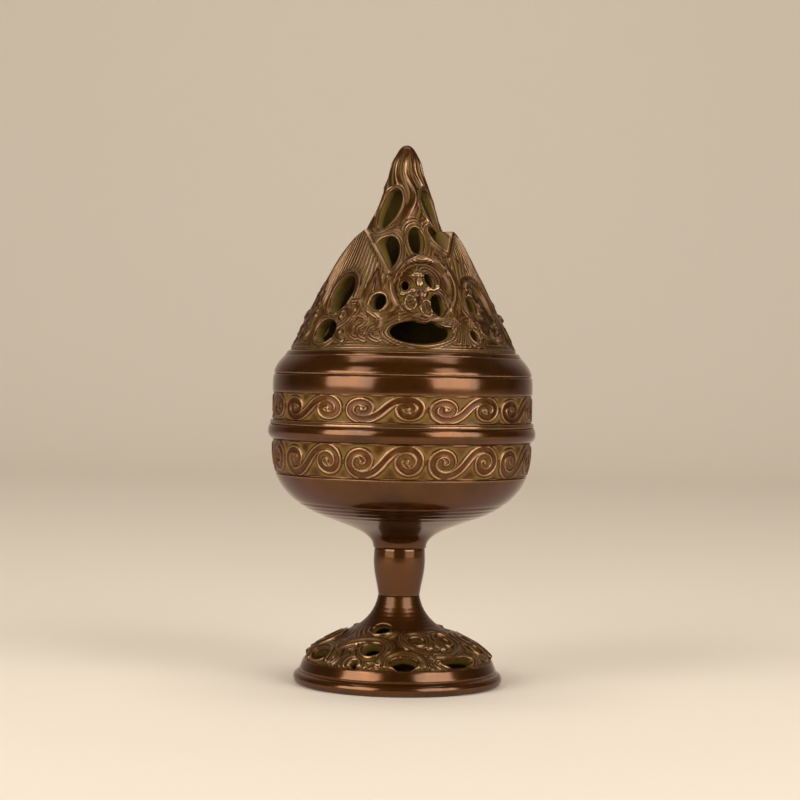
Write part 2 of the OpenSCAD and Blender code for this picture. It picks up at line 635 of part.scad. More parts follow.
// Frames and beasts, cast on the flank
module raised_forms() {
    intersection() {
        union() {
            on_flank(niche_azimuth, niche_mid, niche_mid + niche_h / 2) oval_ring(niche_w / 2, niche_h / 2);
            for (i = arched_vents) {
                v = hill_vents[i];
                on_flank(v[0], v[1] * hill_h, (v[1] + v[3]) * hill_h) intersection() {
                    oval_ring(v[2] * hill_girth + arch_gap, v[3] * hill_h + arch_gap);
                    translate([-hill_r, 0]) square([2 * hill_r, hill_r]);
                }
            }
            for (a = beast_azimuths, line = beast_lines)
                on_flank(a, 0, beast_h) polygon(ribbon(beast_path(line), beast_w / 2));
        }
        peak_band(-relief_out);
    }
}

// Hollow of a niche: an oval cut into the flank to an even depth
module niche_hollow(azimuth, h, half_w, half_h) {
    intersection() {
        on_flank(azimuth, h, h + half_h) polygon(oval(half_w, half_h));
        rotate_extrude() polygon([
            [flank_at(0) - niche_floor, 0], [hill_r + vent_out, 0],
            [hill_r + vent_out, peak_ring_h], [flank_at(peak_ring_h) - niche_floor, peak_ring_h]]);
    }
}

// Children set into the flank at an azimuth
module set_in(azimuth, x, h, sink) {
    rotate([0, 0, azimuth]) translate([x, sink - flank_at(h), h]) children();
}

// Small seated figure with spread sleeves, kept inside the wall behind it
module figure() {
    intersection() {
        union() {
            for (b = figure_balls) {
                r = b[2] * figure_h;
                sink = niche_floor + max(0, r - figure_out);
                set_in(figure_azimuth, b[0] * figure_h, figure_mid + b[1] * figure_h, sink) sphere(r);
            }
            for (s = sleeves) {
                run = (s[1] - s[0]) * figure_h;
                set_in(figure_azimuth, s[0][0] * figure_h, figure_mid + s[0][1] * figure_h, niche_floor)
                    rotate([0, atan2(run[0], run[1]), 0]) cylinder(r = sleeve_r * figure_h, h = norm(run));
            }
        }
        peak_band(-figure_out);
    }
}

// Openwork hill: a hollow ground that narrows to a spire, with overlapping peaks, openings and a niche
module lid_hill() {
    tip = [for (i = [1 : tip_steps]) curve(tip_curve, i / tip_steps)];
    outer = concat(curve_points(ground_curve, hill_steps), tip);
    levels = [for (i = [0 : hill_steps]) [curve(ground_curve, i / hill_steps)[1], i / hill_steps]];
    inner = [for (i = [0 : hill_steps])
        let (t = hollow_top * i / hill_steps) curve(ground_curve, t) - [hill_wall, 0]];
    top = inner[hill_steps];
    color(olive_bronze) translate([0, 0, hill_z]) difference() {
        union() {
            difference() {
                union() {
                    rotate_extrude() polygon(concat(outer, [[0, top[1]]], reversed(inner)));
                    for (p = peaks) peak(p[0], p[1] * peak_ring_h, p[2] * hill_r, p[3], p[4] * peak_out);
                    belt();
                    front_peaks();
                    raised_forms();
                }
                niche_hollow(niche_azimuth, niche_mid, niche_w / 2, niche_h / 2);
                niche_hollow(side_niche[0], side_niche[1] * peak_ring_h,
                             side_niche[2] * hill_r, side_niche[3] * hill_r);
            }
            figure();
            for (t = rock_turns, r = rocks)
                set_in(r[0] + t, 0, r[1] * peak_ring_h, rock_sink) sphere(rock_d / 2);
        }
        for (v = hill_vents) {
            t = lookup(v[1] * hill_h, levels);
            outwards(v[0], curve(ground_curve, t), 0)
                rotate(-v[4]) polygon(oval(v[2] * hill_girth, v[3] * hill_h));
        }
        front_t = lookup(front_vent[1] * hill_h, levels);
        outwards(front_vent[0], curve(ground_curve, front_t), 0) difference() {
            polygon(oval(front_vent[2] * hill_girth, front_vent[3] * hill_h));
            for (r = front_rocks)
                translate([r[0] * hill_girth, r[1] * hill_h]) polygon(oval(r[2] * hill_girth, r[3] * hill_h));
        }
    }
}

foot_ring();
foot_dome();
stem();
bowl();
lower_scrollwork();
upper_scrollwork();
tie_rod();
tie_washer();
tie_nut();
lid_rim();
lid_hill();
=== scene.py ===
import math

import bpy
import numpy as np
from mathutils import Matrix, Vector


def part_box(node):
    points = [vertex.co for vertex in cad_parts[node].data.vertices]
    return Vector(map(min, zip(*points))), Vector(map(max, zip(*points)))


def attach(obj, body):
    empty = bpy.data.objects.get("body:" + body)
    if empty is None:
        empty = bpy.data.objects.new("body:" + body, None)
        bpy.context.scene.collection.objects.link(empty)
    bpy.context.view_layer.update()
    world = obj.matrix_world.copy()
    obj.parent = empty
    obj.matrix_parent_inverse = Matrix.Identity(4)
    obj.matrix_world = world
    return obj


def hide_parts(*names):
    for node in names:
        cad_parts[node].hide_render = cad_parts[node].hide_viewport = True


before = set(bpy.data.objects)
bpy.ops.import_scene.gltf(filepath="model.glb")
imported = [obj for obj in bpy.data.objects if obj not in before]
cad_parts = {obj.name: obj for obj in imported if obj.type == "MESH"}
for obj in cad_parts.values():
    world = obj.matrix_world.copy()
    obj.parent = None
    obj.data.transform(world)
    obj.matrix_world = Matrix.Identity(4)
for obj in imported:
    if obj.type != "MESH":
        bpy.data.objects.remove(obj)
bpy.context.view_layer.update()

# Foot ring
# The plain ring that the censer stands on, cast in bronze and turned smooth, with a rolled lower edge.
# Its ledge carries the dome. Handling has rubbed the roll bright and left dark patina in the groove above it.
MM = 0.001


def size_of(node):
    """Lowest and highest corner of a CAD node, in millimetres."""
    low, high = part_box(node)
    return np.array(low) / MM, np.array(high) / MM


def add_node(tree, kind, inputs=(), **settings):
    """A shader node with its settings, and its inputs set to values or linked to sockets."""
    node = tree.nodes.new(kind)
    for key, value in settings.items():
        setattr(node, key, value)
    for key, value in dict(inputs).items():
        if isinstance(value, bpy.types.NodeSocket):
            tree.links.new(value, node.inputs[key])
        else:
            node.inputs[key].default_value = value
    return node


def ramp(tree, value, low, high):
    """0 where the value is below low, 1 above high, smooth between."""
    limits = {"Value": value, "From Min": low, "From Max": high}
    return add_node(tree, "ShaderNodeMapRange", limits, interpolation_type="SMOOTHSTEP").outputs[0]


def mixed(tree, share, first, second):
    """A number between two numbers or sockets."""
    return add_node(tree, "ShaderNodeMix", {0: share, 2: first, 3: second}).outputs[0]


def mixed_colour(tree, share, first, second):
    """A colour between two colours or sockets."""
    return add_node(tree, "ShaderNodeMix", {0: share, 6: first, 7: second}, data_type="RGBA").outputs[2]


def maths(tree, operation, *values):
    """Result of an operation on numbers or sockets."""
    return add_node(tree, "ShaderNodeMath", dict(enumerate(values)), operation=operation).outputs[0]


def noise(tree, scale, detail):
    """Noise in the object's own coordinates."""
    place = add_node(tree, "ShaderNodeTexCoord").outputs["Object"]
    inputs = {"Vector": place, "Scale": scale, "Detail": detail}
    return add_node(tree, "ShaderNodeTexNoise", inputs).outputs["Fac"]


# How far the grain shifts the wear, and the wear at which dust gives way to skin, and skin to bare metal
grain_shift, skin_wear, bare_wear = 0.16, (0.08, 0.42), (0.55, 1.0)
stain_colour, stain_share, wax_share = (0.02, 0.007, 0.002, 1), 0.45, 0.85
dust_rough, skin_rough, bare_rough = 0.75, (0.32, 0.46), 0.34
dust_metal, skin_metal, bare_metal = 0.1, 0.78, 0.85


def patina_group():
    """Old bronze: dusty olive patina in hollows, brown skin, bare metal where hands rub the high lines."""
    group = bpy.data.node_groups.new("bronze_patina", "ShaderNodeTree")
    face = group.interface
    for name in ("Wear", "Polish"):
        face.new_socket(name, in_out="INPUT", socket_type="NodeSocketFloat")
    for name in ("Dust", "Skin", "Rubbed"):
        face.new_socket(name, in_out="INPUT", socket_type="NodeSocketColor")
    face.new_socket("Color", in_out="OUTPUT", socket_type="NodeSocketColor")
    for name in ("Roughness", "Metallic", "Coat", "Height"):
        face.new_socket(name, in_out="OUTPUT", socket_type="NodeSocketFloat")
    given = group.nodes.new("NodeGroupInput").outputs
    cloud, grain = noise(group, 75, 5), noise(group, 620, 4)
    wear = maths(group, "ADD", given["Wear"], mixed(group, grain, -grain_shift, grain_shift))
    clean, bare = ramp(group, wear, *skin_wear), ramp(group, wear, *bare_wear)
    stained = mixed_colour(group, stain_share, given["Skin"], stain_colour)
    skin = mixed_colour(group, ramp(group, cloud, 0.42, 0.66), given["Skin"], stained)
    colour = mixed_colour(group, bare, mixed_colour(group, clean, given["Dust"], skin), given["Rubbed"])
    even = mixed(group, clean, dust_rough, mixed(group, cloud, *skin_rough))
    cast = maths(group, "MULTIPLY_ADD", given["Polish"], -0.6, 0.24)
    rough = maths(group, "ADD", mixed(group, bare, even, bare_rough), cast)
    metal = mixed(group, bare, mixed(group, clean, dust_metal, skin_metal), bare_metal)
    coat = mixed(group, clean, 0.0, maths(group, "MULTIPLY", given["Polish"], wax_share))
    results = {"Color": colour, "Roughness": rough, "Metallic": metal, "Coat": coat, "Height": grain}
    add_node(group, "NodeGroupOutput", results)
    return group


patina = patina_group()


def new_material(name):
    """A material, its tree of nodes and the inputs of its shader."""
    material = bpy.data.materials.new(name)
    material.use_nodes = True
    return material, material.node_tree, material.node_tree.nodes["Principled BSDF"].inputs


def bronze(name, dust, skin, rubbed, polish):
    """Patinated bronze whose wear comes from the mesh's own hollows and edges."""
    material, tree, shader = new_material(name)
    wear = add_node(tree, "ShaderNodeAttribute", attribute_name="wear").outputs["Fac"]
    look = {"Wear": wear, "Polish": polish, "Dust": (*dust, 1), "Skin": (*skin, 1), "Rubbed": (*rubbed, 1)}
    old = add_node(tree, "ShaderNodeGroup", look, node_tree=patina).outputs
    grain = {"Strength": 0.12, "Distance": 0.0002, "Height": old["Height"]}
    bump = add_node(tree, "ShaderNodeBump", grain)
    shader["Coat Roughness"].default_value = 0.14
    shader["Specular Tint"].default_value = (0.40, 0.20, 0.09, 1)
    links = {"Base Color": "Color", "Roughness": "Roughness", "Metallic": "Metallic", "Coat Weight": "Coat"}
    for key, value in links.items():
        tree.links.new(old[value], shader[key])
    tree.links.new(bump.outputs["Normal"], shader["Normal"])
    return material


def make_piece(name, points, faces, corner_uv, wear, material):
    """Mesh object from points in millimetres. Faces come in groups, with one UV pair per face corner."""
    mesh = bpy.data.meshes.new(name)
    polygons = [face for group in faces for face in group.tolist()]
    mesh.from_pydata((points * MM).tolist(), [], polygons)
    uv = np.concatenate([part.reshape(-1, 2) for part in corner_uv])
    mesh.uv_layers.new(name="OFBake").data.foreach_set("uv", uv.ravel())
    mesh.attributes.new("wear", "FLOAT", "POINT").data.foreach_set("value", np.clip(wear, 0, 1))
    mesh.shade_smooth()
    mesh.materials.append(material)
    piece = bpy.data.objects.new(name, mesh)
    bpy.context.scene.collection.objects.link(piece)
    return piece


def fit(piece, body, slot, *nodes):
    """The piece moves with a body and stands for CAD nodes, which it hides. The slot is not used."""
    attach(piece, body)
    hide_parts(*nodes)


def softened(corners, steps=5):
    """Profile through corners of radius, height and cut. A cut corner is rounded off over that length."""
    spots = np.array([corner[:2] for corner in corners], float)
    profile = []
    for k, (radius, height, cut) in enumerate(corners):
        here = np.array([radius, height])
        if cut == 0:
            profile.append(here)
            continue
        ways = [spots[k - 1] - here, spots[(k + 1) % len(spots)] - here]
        before, after = (here + way * min(cut / np.linalg.norm(way), 0.48) for way in ways)
        for t in np.linspace(0, 1, steps):
            profile.append(before * (1 - t) ** 2 + 2 * here * t * (1 - t) + after * t**2)
    return np.array(profile)


def divided(profile, longest, closed=True):
    """The same profile with no step longer than the given one."""
    ends = np.roll(profile, -1, axis=0)
    points = []
    for start, end in zip(profile, ends):
        parts = max(1, math.ceil(np.linalg.norm(end - start) / longest))
        points.extend(start + (end - start) * i / parts for i in range(parts))
    if not closed:
        last = next(i for i, p in enumerate(points) if np.allclose(p, profile[-1]))
        points = points[: last + 1]
    return np.array(points)


def around(turn, radius, height):
    """Points at a turn from 0 to 1, which starts at the back and passes the front halfway."""
    angle = 2 * np.pi * turn - np.pi
    return np.stack([radius * np.sin(angle), -radius * np.cos(angle), height], axis=-1)


uv_width = 0.99


def kept_whole(corners):
    """UV pairs of the faces' corners, with the faces that cross the seam kept whole."""
    across = np.ptp(corners[..., 0], axis=1) > 0.5
    corners[across, :, 0] += corners[across, :, 0] < 0.5
    corners[..., 0] *= uv_width
    return corners


def row_uv(corners, columns):
    """UV pairs of one row of faces round the axis, from each corner's column and its height on the map."""
    return np.stack([np.stack([uv_width * u / columns, np.full(columns, v)], 1) for u, v in corners], axis=1)


def length_along(points):
    """Length of a line of points up to each of them."""
    return np.concatenate([[0], np.cumsum(np.linalg.norm(np.diff(points, axis=0), axis=1))])


def profile_wear(profile, middle=0.5, gain=0.16):
    """High on the profile's outward corners, low in its grooves. The profile runs upwards on the outside."""
    before = profile - np.roll(profile, 1, axis=0)
    after = np.roll(profile, -1, axis=0) - profile
    turn = np.cross(before, after)
    length = np.linalg.norm(before, axis=1) + np.linalg.norm(after, axis=1)
    bend = np.arcsin(np.clip(turn / (length**2 / 4 + 1e-9), -1, 1)) / (length / 2 + 1e-9)
    for _ in range(3):
        bend = (np.roll(bend, 1) + 2 * bend + np.roll(bend, -1)) / 4
    return middle + gain * np.clip(bend, -3, 3)


# Slow waves by which a turned piece is out of round: waves round the axis, height per radian of twist, start
drift_waves = [[2, 9, 0], [5, -6, 1], [9, 4, 2]]


def turned(name, profile, columns, material, wobble=0.04):
    """A closed profile turned about the axis, or an open one that starts and ends on the axis."""
    on_axis = profile[0, 0] == 0
    used = slice(1, -1) if on_axis else slice(None)
    rings, wear = profile[used], profile_wear(profile)[used]
    count = len(rings)
    turn = np.tile(np.arange(columns) / columns, count)
    radius, height = np.repeat(rings, columns, axis=0).T
    angle = 2 * np.pi * turn
    drift = sum(np.sin(waves * angle + height / rise + start) for waves, rise, start in drift_waves)
    points = around(turn, radius + wobble / 3 * drift, height)
    steps = count - 1 if on_axis else count
    ring, column = np.meshgrid(np.arange(steps), np.arange(columns), indexing="ij")
    beside, above = (column + 1) % columns, (ring + 1) % count
    quads = np.stack([ring * columns + column, ring * columns + beside, above * columns + beside,
                      above * columns + column], axis=-1).reshape(-1, 4)
    along = length_along(rings)
    along = 0.02 + 0.94 * along / (along[-1] + 1e-9)
    quad_uv = kept_whole(np.stack([turn, np.repeat(along, columns)], axis=1)[quads])
    if not on_axis:
        quad_uv[(count - 1) * columns:, 2:, 1] = 0.98
    faces, corner_uv, wear = [quads], [quad_uv], np.repeat(wear, columns)
    if on_axis:
        pole = np.full(columns, len(points))
        points = np.concatenate([points, [[0, 0, profile[0, 1]], [0, 0, profile[-1, 1]]]])
        wear = np.append(wear, [0.4, 0.4])
        j = np.arange(columns)
        k = (j + 1) % columns
        top = (count - 1) * columns
        faces += [np.stack([k, j, pole], 1), np.stack([top + j, top + k, pole + 1], 1)]
        corner_uv += [row_uv([[j + 1, v], [j, v], [j + 0.5, v + 0.008]], columns) for v in (0.01, 0.98)]
    return make_piece(name, points, faces, corner_uv, wear, material)


bronze_smooth = bronze("bronze_smooth", dust=(0.050, 0.019, 0.002), skin=(0.098, 0.032, 0.003),
                       rubbed=(0.31, 0.165, 0.075), polish=0.74)
ring_high = size_of("foot_ring")[1]
ring_r, ring_top = ring_high[0], ring_high[2]
roll_t, roll_r = 4.0, 2.0
ledge_r, ledge_w = ring_r - 3.4, 4
groove_r, groove_top = ring_r - 2.1, 4.9
roll_middle = ring_r - roll_r
roll = [[roll_middle + roll_r * math.cos(a), roll_r + roll_r * math.sin(a), 0]
        for a in np.radians(np.linspace(-80, 62, 15))]
foot_ring_profile = softened(
    [[ledge_r - ledge_w, 0, 0.5], [roll_middle, 0, 0.3], *roll, [groove_r, roll_t + 0.2, 0.35],
     [groove_r + 0.1, groove_top, 0.4], [ledge_r + 0.1, ring_top, 0.6], [ledge_r - 0.6, ring_top, 0.2],
     [ledge_r - ledge_w, ring_top, 0.4]])
foot_ring = turned("foot_ring_turned", divided(foot_ring_profile, 0.7), 288, bronze_smooth)
fit(foot_ring, "base", "bronze_smooth", "foot_ring")

# Foot dome
# The openwork foot, cast over a lost core as coiling beasts and clouds with gaps between them. Its bronze is
# darker than the hill's. A collar takes the stem's tenon, and a seat inside takes the tie's washer and nut.


def curve(ends, t):
    """Points on a cubic curve."""
    t = np.asarray(t, float)[:, None]
    p = np.array(ends, float)
    return p[0] * (1 - t) ** 3 + p[1] * 3 * t * (1 - t) ** 2 + p[2] * 3 * t**2 * (1 - t) + p[3] * t**3


def evenly(points, step):
    """Points at equal steps along a line of many points."""
    length = length_along(points)
    spots = np.linspace(0, length[-1], max(2, round(length[-1] / step) + 1))
    return np.stack([np.interp(spots, length, axis) for axis in points.T], axis=1)


def smooth(x, low, high):
    """0 below low, 1 above high, smooth between."""
    t = np.clip((x - low) / (high - low), 0, 1)
    return t * t * (3 - 2 * t)


def ridges(x, pitch):
    """Rounded ridges from 0 to 1, one at every multiple of the pitch."""
    return 0.5 + 0.5 * np.cos(2 * np.pi * x / pitch)


def hump(x, middle, half):
    """1 at the middle, fading to both sides."""
    return np.exp(-(((x - middle) / half) ** 2))


def off_azimuth(azimuth, middle):
    """Difference of azimuths, from -180 to 180."""
    return (azimuth - middle + 180) % 360 - 180


def arc(azimuth, middle, radius):
    """Distance round the axis from the azimuth in the middle."""
    return np.radians(off_azimuth(azimuth, middle)) * radius


def half_round(x, half):
    """Half-round section of height 1."""
    return np.sqrt(np.clip(1 - (x / half) ** 2, 0, 1))


def oval_room(x, y, half_w, half_h):
    """Distance outside an oval, negative inside."""
    k = np.sqrt((x / half_w) ** 2 + (y / half_h) ** 2) + 1e-6
    return np.hypot(x, y) * (1 - 1 / k) + np.where(k < 0.05, -min(half_w, half_h), 0)


def leaned(x, y, lean):
    """Coordinates along and across an opening that leans to the right."""
    a = math.radians(lean)
    return x * math.cos(a) - y * math.sin(a), x * math.sin(a) + y * math.cos(a)


def dome(x, y, half_w, half_h):
    """Rounded lump of height 1 over an oval."""
    return np.sqrt(np.clip(1 - (x / half_w) ** 2 - (y / half_h) ** 2, 0, 1))


def distance_to(path, x, y):
    """Distance from points to a line of points."""
    best = np.full(np.shape(x), 1e9)
    for (ax, ay), (bx, by) in zip(path[:-1], path[1:]):
        dx, dy = bx - ax, by - ay
        t = np.clip(((x - ax) * dx + (y - ay) * dy) / (dx * dx + dy * dy + 1e-12), 0, 1)
        best = np.minimum(best, np.hypot(x - ax - t * dx, y - ay - t * dy))
    return best


def ring_mesh(counts):
    """Points and triangles of a sheet that goes once round. Its rings keep or halve their count of points."""
    start = np.concatenate([[0], np.cumsum(counts)])
    turn = np.concatenate([np.arange(n) / n for n in counts])
    ring = np.repeat(np.arange(len(counts)), counts).astype(float)
    faces = []
    for k in range(len(counts) - 1):
        n, m = counts[k], counts[k + 1]
        j = np.arange(m)
        d, e = start[k + 1] + j, start[k + 1] + (j + 1) % m
        if n == m:
            a, b = start[k] + j, start[k] + (j + 1) % n
            faces += [np.c_[a, b, e], np.c_[a, e, d]] if k % 2 else [np.c_[a, b, d], np.c_[b, e, d]]
        else:
            a, b, c = (start[k] + (2 * j + i) % n for i in range(3))
            faces += [np.c_[a, b, d], np.c_[b, e, d], np.c_[b, c, e]]
    return turn, ring, np.concatenate(faces)


def clipped(turn, ring, faces, room):
    """The sheet without the parts where room is negative, and its cut edges in the order of their faces."""
    room = np.where(np.abs(room) < 0.04, np.where(room > 0, 0.04, -0.04), room)
    inside = room > 0
    count = inside[faces].sum(1)
    left, cuts, edges, rims = [faces[count == 3]], [], [], []
    made = 0
    for whole in (1, 2):
        part = faces[count == whole]
        odd = inside[part] == (whole == 1)
        part = np.take_along_axis(part, (odd.argmax(1)[:, None] + np.arange(3)) % 3, 1)
        p, q, r = part.T
        edges += [np.c_[p, q], np.c_[p, r]]
        pq = made + np.arange(len(part))
        pr = pq + len(part)
        made += 2 * len(part)
        if whole == 1:
            cuts.append(np.c_[p, -1 - pq, -1 - pr])
            rims.append(np.c_[-1 - pq, -1 - pr])
        else:
            cuts += [np.c_[q, r, -1 - pr], np.c_[q, -1 - pr, -1 - pq]]
            rims.append(np.c_[-1 - pr, -1 - pq])
    edges = np.sort(np.concatenate(edges), axis=1)
    unique, number = np.unique(edges, axis=0, return_inverse=True)
    number = number.ravel()
    a, b = unique.T
    share = room[a] / (room[a] - room[b])
    step = turn[b] - turn[a]
    new_turn = (turn[a] + share * (step - np.round(step))) % 1
    new_ring = ring[a] + share * (ring[b] - ring[a])
    old = len(turn)

    def settled(indexes):
        return np.where(indexes < 0, old + number[np.clip(-1 - indexes, 0, None)], indexes)

    faces = np.concatenate([left[0], *[settled(cut) for cut in cuts]])
    rim = np.concatenate([settled(edge) for edge in rims])
    turn, ring = np.append(turn, new_turn), np.append(ring, new_ring)
    room = np.append(room, np.zeros(len(new_turn)))
    used = np.unique(faces)
    place = np.full(len(turn), -1)
    place[used] = np.arange(len(used))
    return turn[used], ring[used], room[used], place[faces], place[rim]


def stands_out(height, faces, rounds=28):
    """How far each point stands above the mean of its neighbourhood."""
    a = np.concatenate([faces[:, 0], faces[:, 1], faces[:, 2]])
    b = np.concatenate([faces[:, 1], faces[:, 2], faces[:, 0]])
    here, there = np.concatenate([a, b]), np.concatenate([b, a])
    total = np.maximum(np.bincount(here, minlength=len(height)), 1)
    level = height
    for _ in range(rounds):
        level = np.bincount(here, level[there], len(height)) / total
    return height - level


def shell_wear(steps_up, fine, faces, middle):
    """Wear of a relief: fine lines count in full, the edges of high steps only a little."""
    return middle + stands_out(fine, faces) / 0.55 + 0.12 * np.clip(stands_out(steps_up, faces), -1.5, 1)


sheltered_wear = 0.12


def openwork(name, base, counts, room_at, relief_at, wall, hollow, closing, material, upright=False, edge=0.7,
             middle_wear=0.45, sink_at=None):
    """A cast shell with openings: an outer sheet in relief, an inner one up to ring hollow, and their walls.
    closing leads from the inner sheet's last ring to the outer's; without it both close on the axis."""
    slope = np.gradient(base, axis=0)
    out = np.stack([slope[:, 1], -slope[:, 0]], axis=1)
    out = np.tile([1.0, 0.0], (len(base), 1)) if upright else out / np.linalg.norm(out, axis=1)[:, None]
    rings = np.arange(len(base))

    def on_base(ring):
        return [np.interp(ring, rings, line) for line in (*base.T, *out.T)]

    turn, ring, faces = ring_mesh(counts)
    turn, ring, room, faces, rim = clipped(turn, ring, faces, room_at(360 * turn - 180, *on_base(ring)[:2]))
    radius, height, across, up = on_base(ring)
    azimuth = 360 * turn - 180
    steps_up, fine = relief_at(azimuth, radius, height, room)
    rounding = 1 - np.sqrt(1 - np.clip(1 - room / edge, 0, 1) ** 2)
    lift = steps_up + fine - edge * rounding
    sink = sink_at(azimuth, height) if sink_at else 0
    outer = around(turn, radius + lift * across, height + lift * up - sink)
    deep = -wall + 0.6 * edge * rounding
    inner = around(turn, np.maximum(radius + deep * across, 0.3), np.maximum(height + deep * up, base[0, 1]))
    n = len(turn)
    share = ring / rings[-1]
    outer_uv = np.stack([turn, 0.41 + 0.58 * share], axis=1)
    inner_uv = np.stack([turn, 0.01 + 0.36 * share], axis=1)
    inner_faces = faces[(ring[faces] <= hollow + 1e-6).all(1)][:, ::-1]
    points = [outer, inner]
    wear = [shell_wear(steps_up, fine, faces, middle_wear), np.full(n, sheltered_wear)]
    groups = [faces, inner_faces + n]
    corner_uv = [kept_whole(outer_uv[faces]), kept_whole(inner_uv[inner_faces])]
    size = 2 * n
    # Walls of the openings, in steps from the outer sheet to the inner
    steps, step_uv = 3, 0.0016
    p, q = rim.T
    run = outer_uv[q] - outer_uv[p]
    run[:, 0] -= np.round(run[:, 0])
    side = np.zeros((n, 2))
    for end in (p, q):
        np.add.at(side, end, np.stack([run[:, 1], -run[:, 0]], axis=1))
    side /= np.linalg.norm(side, axis=1)[:, None] + 1e-12
    lines = [np.arange(n)] + [np.full(n, -1) for _ in range(steps - 1)] + [np.arange(n) + n]
    edge_points = np.unique(rim)
    for k in range(1, steps):
        lines[k][edge_points] = size + np.arange(len(edge_points))
        size += len(edge_points)
        points.append(outer[edge_points] + (inner - outer)[edge_points] * k / steps)
        wear.append(np.full(len(edge_points), sheltered_wear - 0.03 * k))
    for k in range(steps):
        groups.append(np.c_[lines[k][q], lines[k][p], lines[k + 1][p], lines[k + 1][q]])
        first, second = (outer_uv + side * step_uv * i for i in (k, k + 1))
        corner_uv.append(kept_whole(np.stack([first[q], first[p], second[p], second[q]], axis=1)))

    def ring_points(k, shift):
        found = np.flatnonzero(ring == k)
        return found[np.argsort(turn[found])] + shift

    def strip(lower, upper, v):
        j = np.arange(len(lower))
        k = (j + 1) % len(lower)
        groups.append(np.c_[lower[k], lower[j], upper[j], upper[k]])
        corner_uv.append(row_uv([[j + 1, v], [j, v], [j, v + 0.003], [j + 1, v + 0.003]], len(lower)))

    def fan(line, middle, v, outward):
        j = np.arange(len(line))
        k = (j + 1) % len(line)
        first, second = (j, k) if outward else (k, j)
        groups.append(np.c_[line[first], line[second], np.full(len(line), middle)])
        corners = [[first + (first < j), v], [second + (second < j), v], [j + 0.5, v + 0.006]]
        corner_uv.append(row_uv(corners, len(line)))

    strip(ring_points(0, 0), ring_points(0, n), 0.405)
    last, top = ring_points(hollow, n), ring_points(rings[-1], 0)
    if len(closing):
        line = last
        count = len(last)
        for k, (r, z) in enumerate(closing):
            points.append(around(np.arange(count) / count, np.full(count, r), np.full(count, z)))
            wear.append(np.full(count, 0.4))
            upper = size + np.arange(count)
            size += count
            strip(line, upper, 0.378 + 0.004 * k)
            line = upper
        strip(line, top, 0.4)
    else:
        points += [[[0, 0, inner[last[0] - n, 2]]], [[0, 0, base[-1, 1]]]]
        wear.append(np.array([sheltered_wear, 0.6]))
        fan(last, size, 0.385, False)
        fan(top, size + 1, 0.992, True)
    points, wear = np.concatenate(points), np.concatenate(wear)
    kept = np.zeros(len(points), bool)
    for group in groups:
        kept[group] = True
    place = np.cumsum(kept) - 1
    return make_piece(name, points[kept], [place[group] for group in groups], corner_uv, wear[kept], material)


bronze_foot = bronze("bronze_foot", dust=(0.080, 0.051, 0.010), skin=(0.078, 0.027, 0.005),
                     rubbed=(0.34, 0.20, 0.10), polish=0.5)
stem_z = size_of("foot_dome")[1][2]
dome_r, collar_r, dome_wall = ledge_r - 0.4, 6.9, 2.6
turn_z = ring_top + 0.38 * (stem_z - ring_top)
dome_steps = np.linspace(0, 1, 400)
dome_line = curve([[dome_r, ring_top], [0.81 * dome_r, turn_z], [collar_r + 2.1, turn_z], [collar_r, stem_z]],
                  dome_steps)
dome_length = length_along(dome_line)
dome_base = evenly(dome_line, 0.27)
dome_counts = [720 if r > 15.5 else 360 for r in dome_base[:, 0]]
nut_seat_z, rod_hole_r, socket_r, tenon_l = 21, 3.15, 4.9, 3.2
dome_hollow = int(np.argmax(dome_base[:, 1] > nut_seat_z - 0.4)) - 1

# Openings in the foot: azimuth, place along the curve, half width and half height
dome_vents = [[-24, 0.63, 3.5, 2.8], [-20, 0.28, 3.3, 3.3], [-27.5, 0.045, 1.1, 1.3], [4, 0.085, 4.2, 2.6],
              [41, 0.075, 6.2, 1.9], [-62, 0.12, 4.6, 2.3], [47, 0.42, 1.9, 2.8], [18, 0.43, 2.4, 1.9],
              [74, 0.2, 2.6, 2.5], [102, 0.08, 5.2, 1.8], [128, 0.6, 3.2, 2.5], [138, 0.27, 3.2, 3.1],
              [170, 0.08, 4.6, 1.8], [186, 0.42, 2.3, 2.0], [214, 0.25, 3.2, 3.1], [232, 0.6, 3.1, 2.4],
              [246, 0.08, 5.4, 1.8], [-90, 0.36, 2.4, 2.3]]
# Bodies of the beasts, as lines about a middle in millimetres: a coil with a tail, a hook, and an arch
coil_line = [[4.2, -5.6], [5.8, -1.6], [4.9, 3.0], [1.2, 5.6], [-3.6, 5.4], [-8.4, 3.4], [-12.6, 0.4],
             [-15.4, -4.0]]
hook_line = [[3.6, -2.8], [4.5, 1.0], [2.0, 4.2], [-2.2, 4.0], [-4.4, 0.4], [-3.4, -4.0], [0.6, -6.8],
             [5.6, -8.4], [10.0, -8.0]]
arch_line = [[-6.4, -2.2], [-5.6, 2.2], [-1.8, 4.4], [2.4, 4.2], [5.8, 1.8], [6.8, -2.2]]
# Where they lie: line, azimuth, place along the curve, and -1 for a mirror image
dome_bodies = [[coil_line, -20, 0.28, 1], [hook_line, 18, 0.43, 1], [arch_line, 4, 0.085, 1],
               [hook_line, 47, 0.4, -1], [arch_line, -62, 0.12, 1], [coil_line, 84, 0.3, -1],
               [arch_line, 102, 0.08, 1], [coil_line, 138, 0.27, 1], [hook_line, 186, 0.42, 1],
               [arch_line, 170, 0.08, 1], [coil_line, 214, 0.26, -1], [arch_line, 246, 0.08, 1],
               [hook_line, -90, 0.36, -1]]
body_r, body_out = 1.9, 1.0
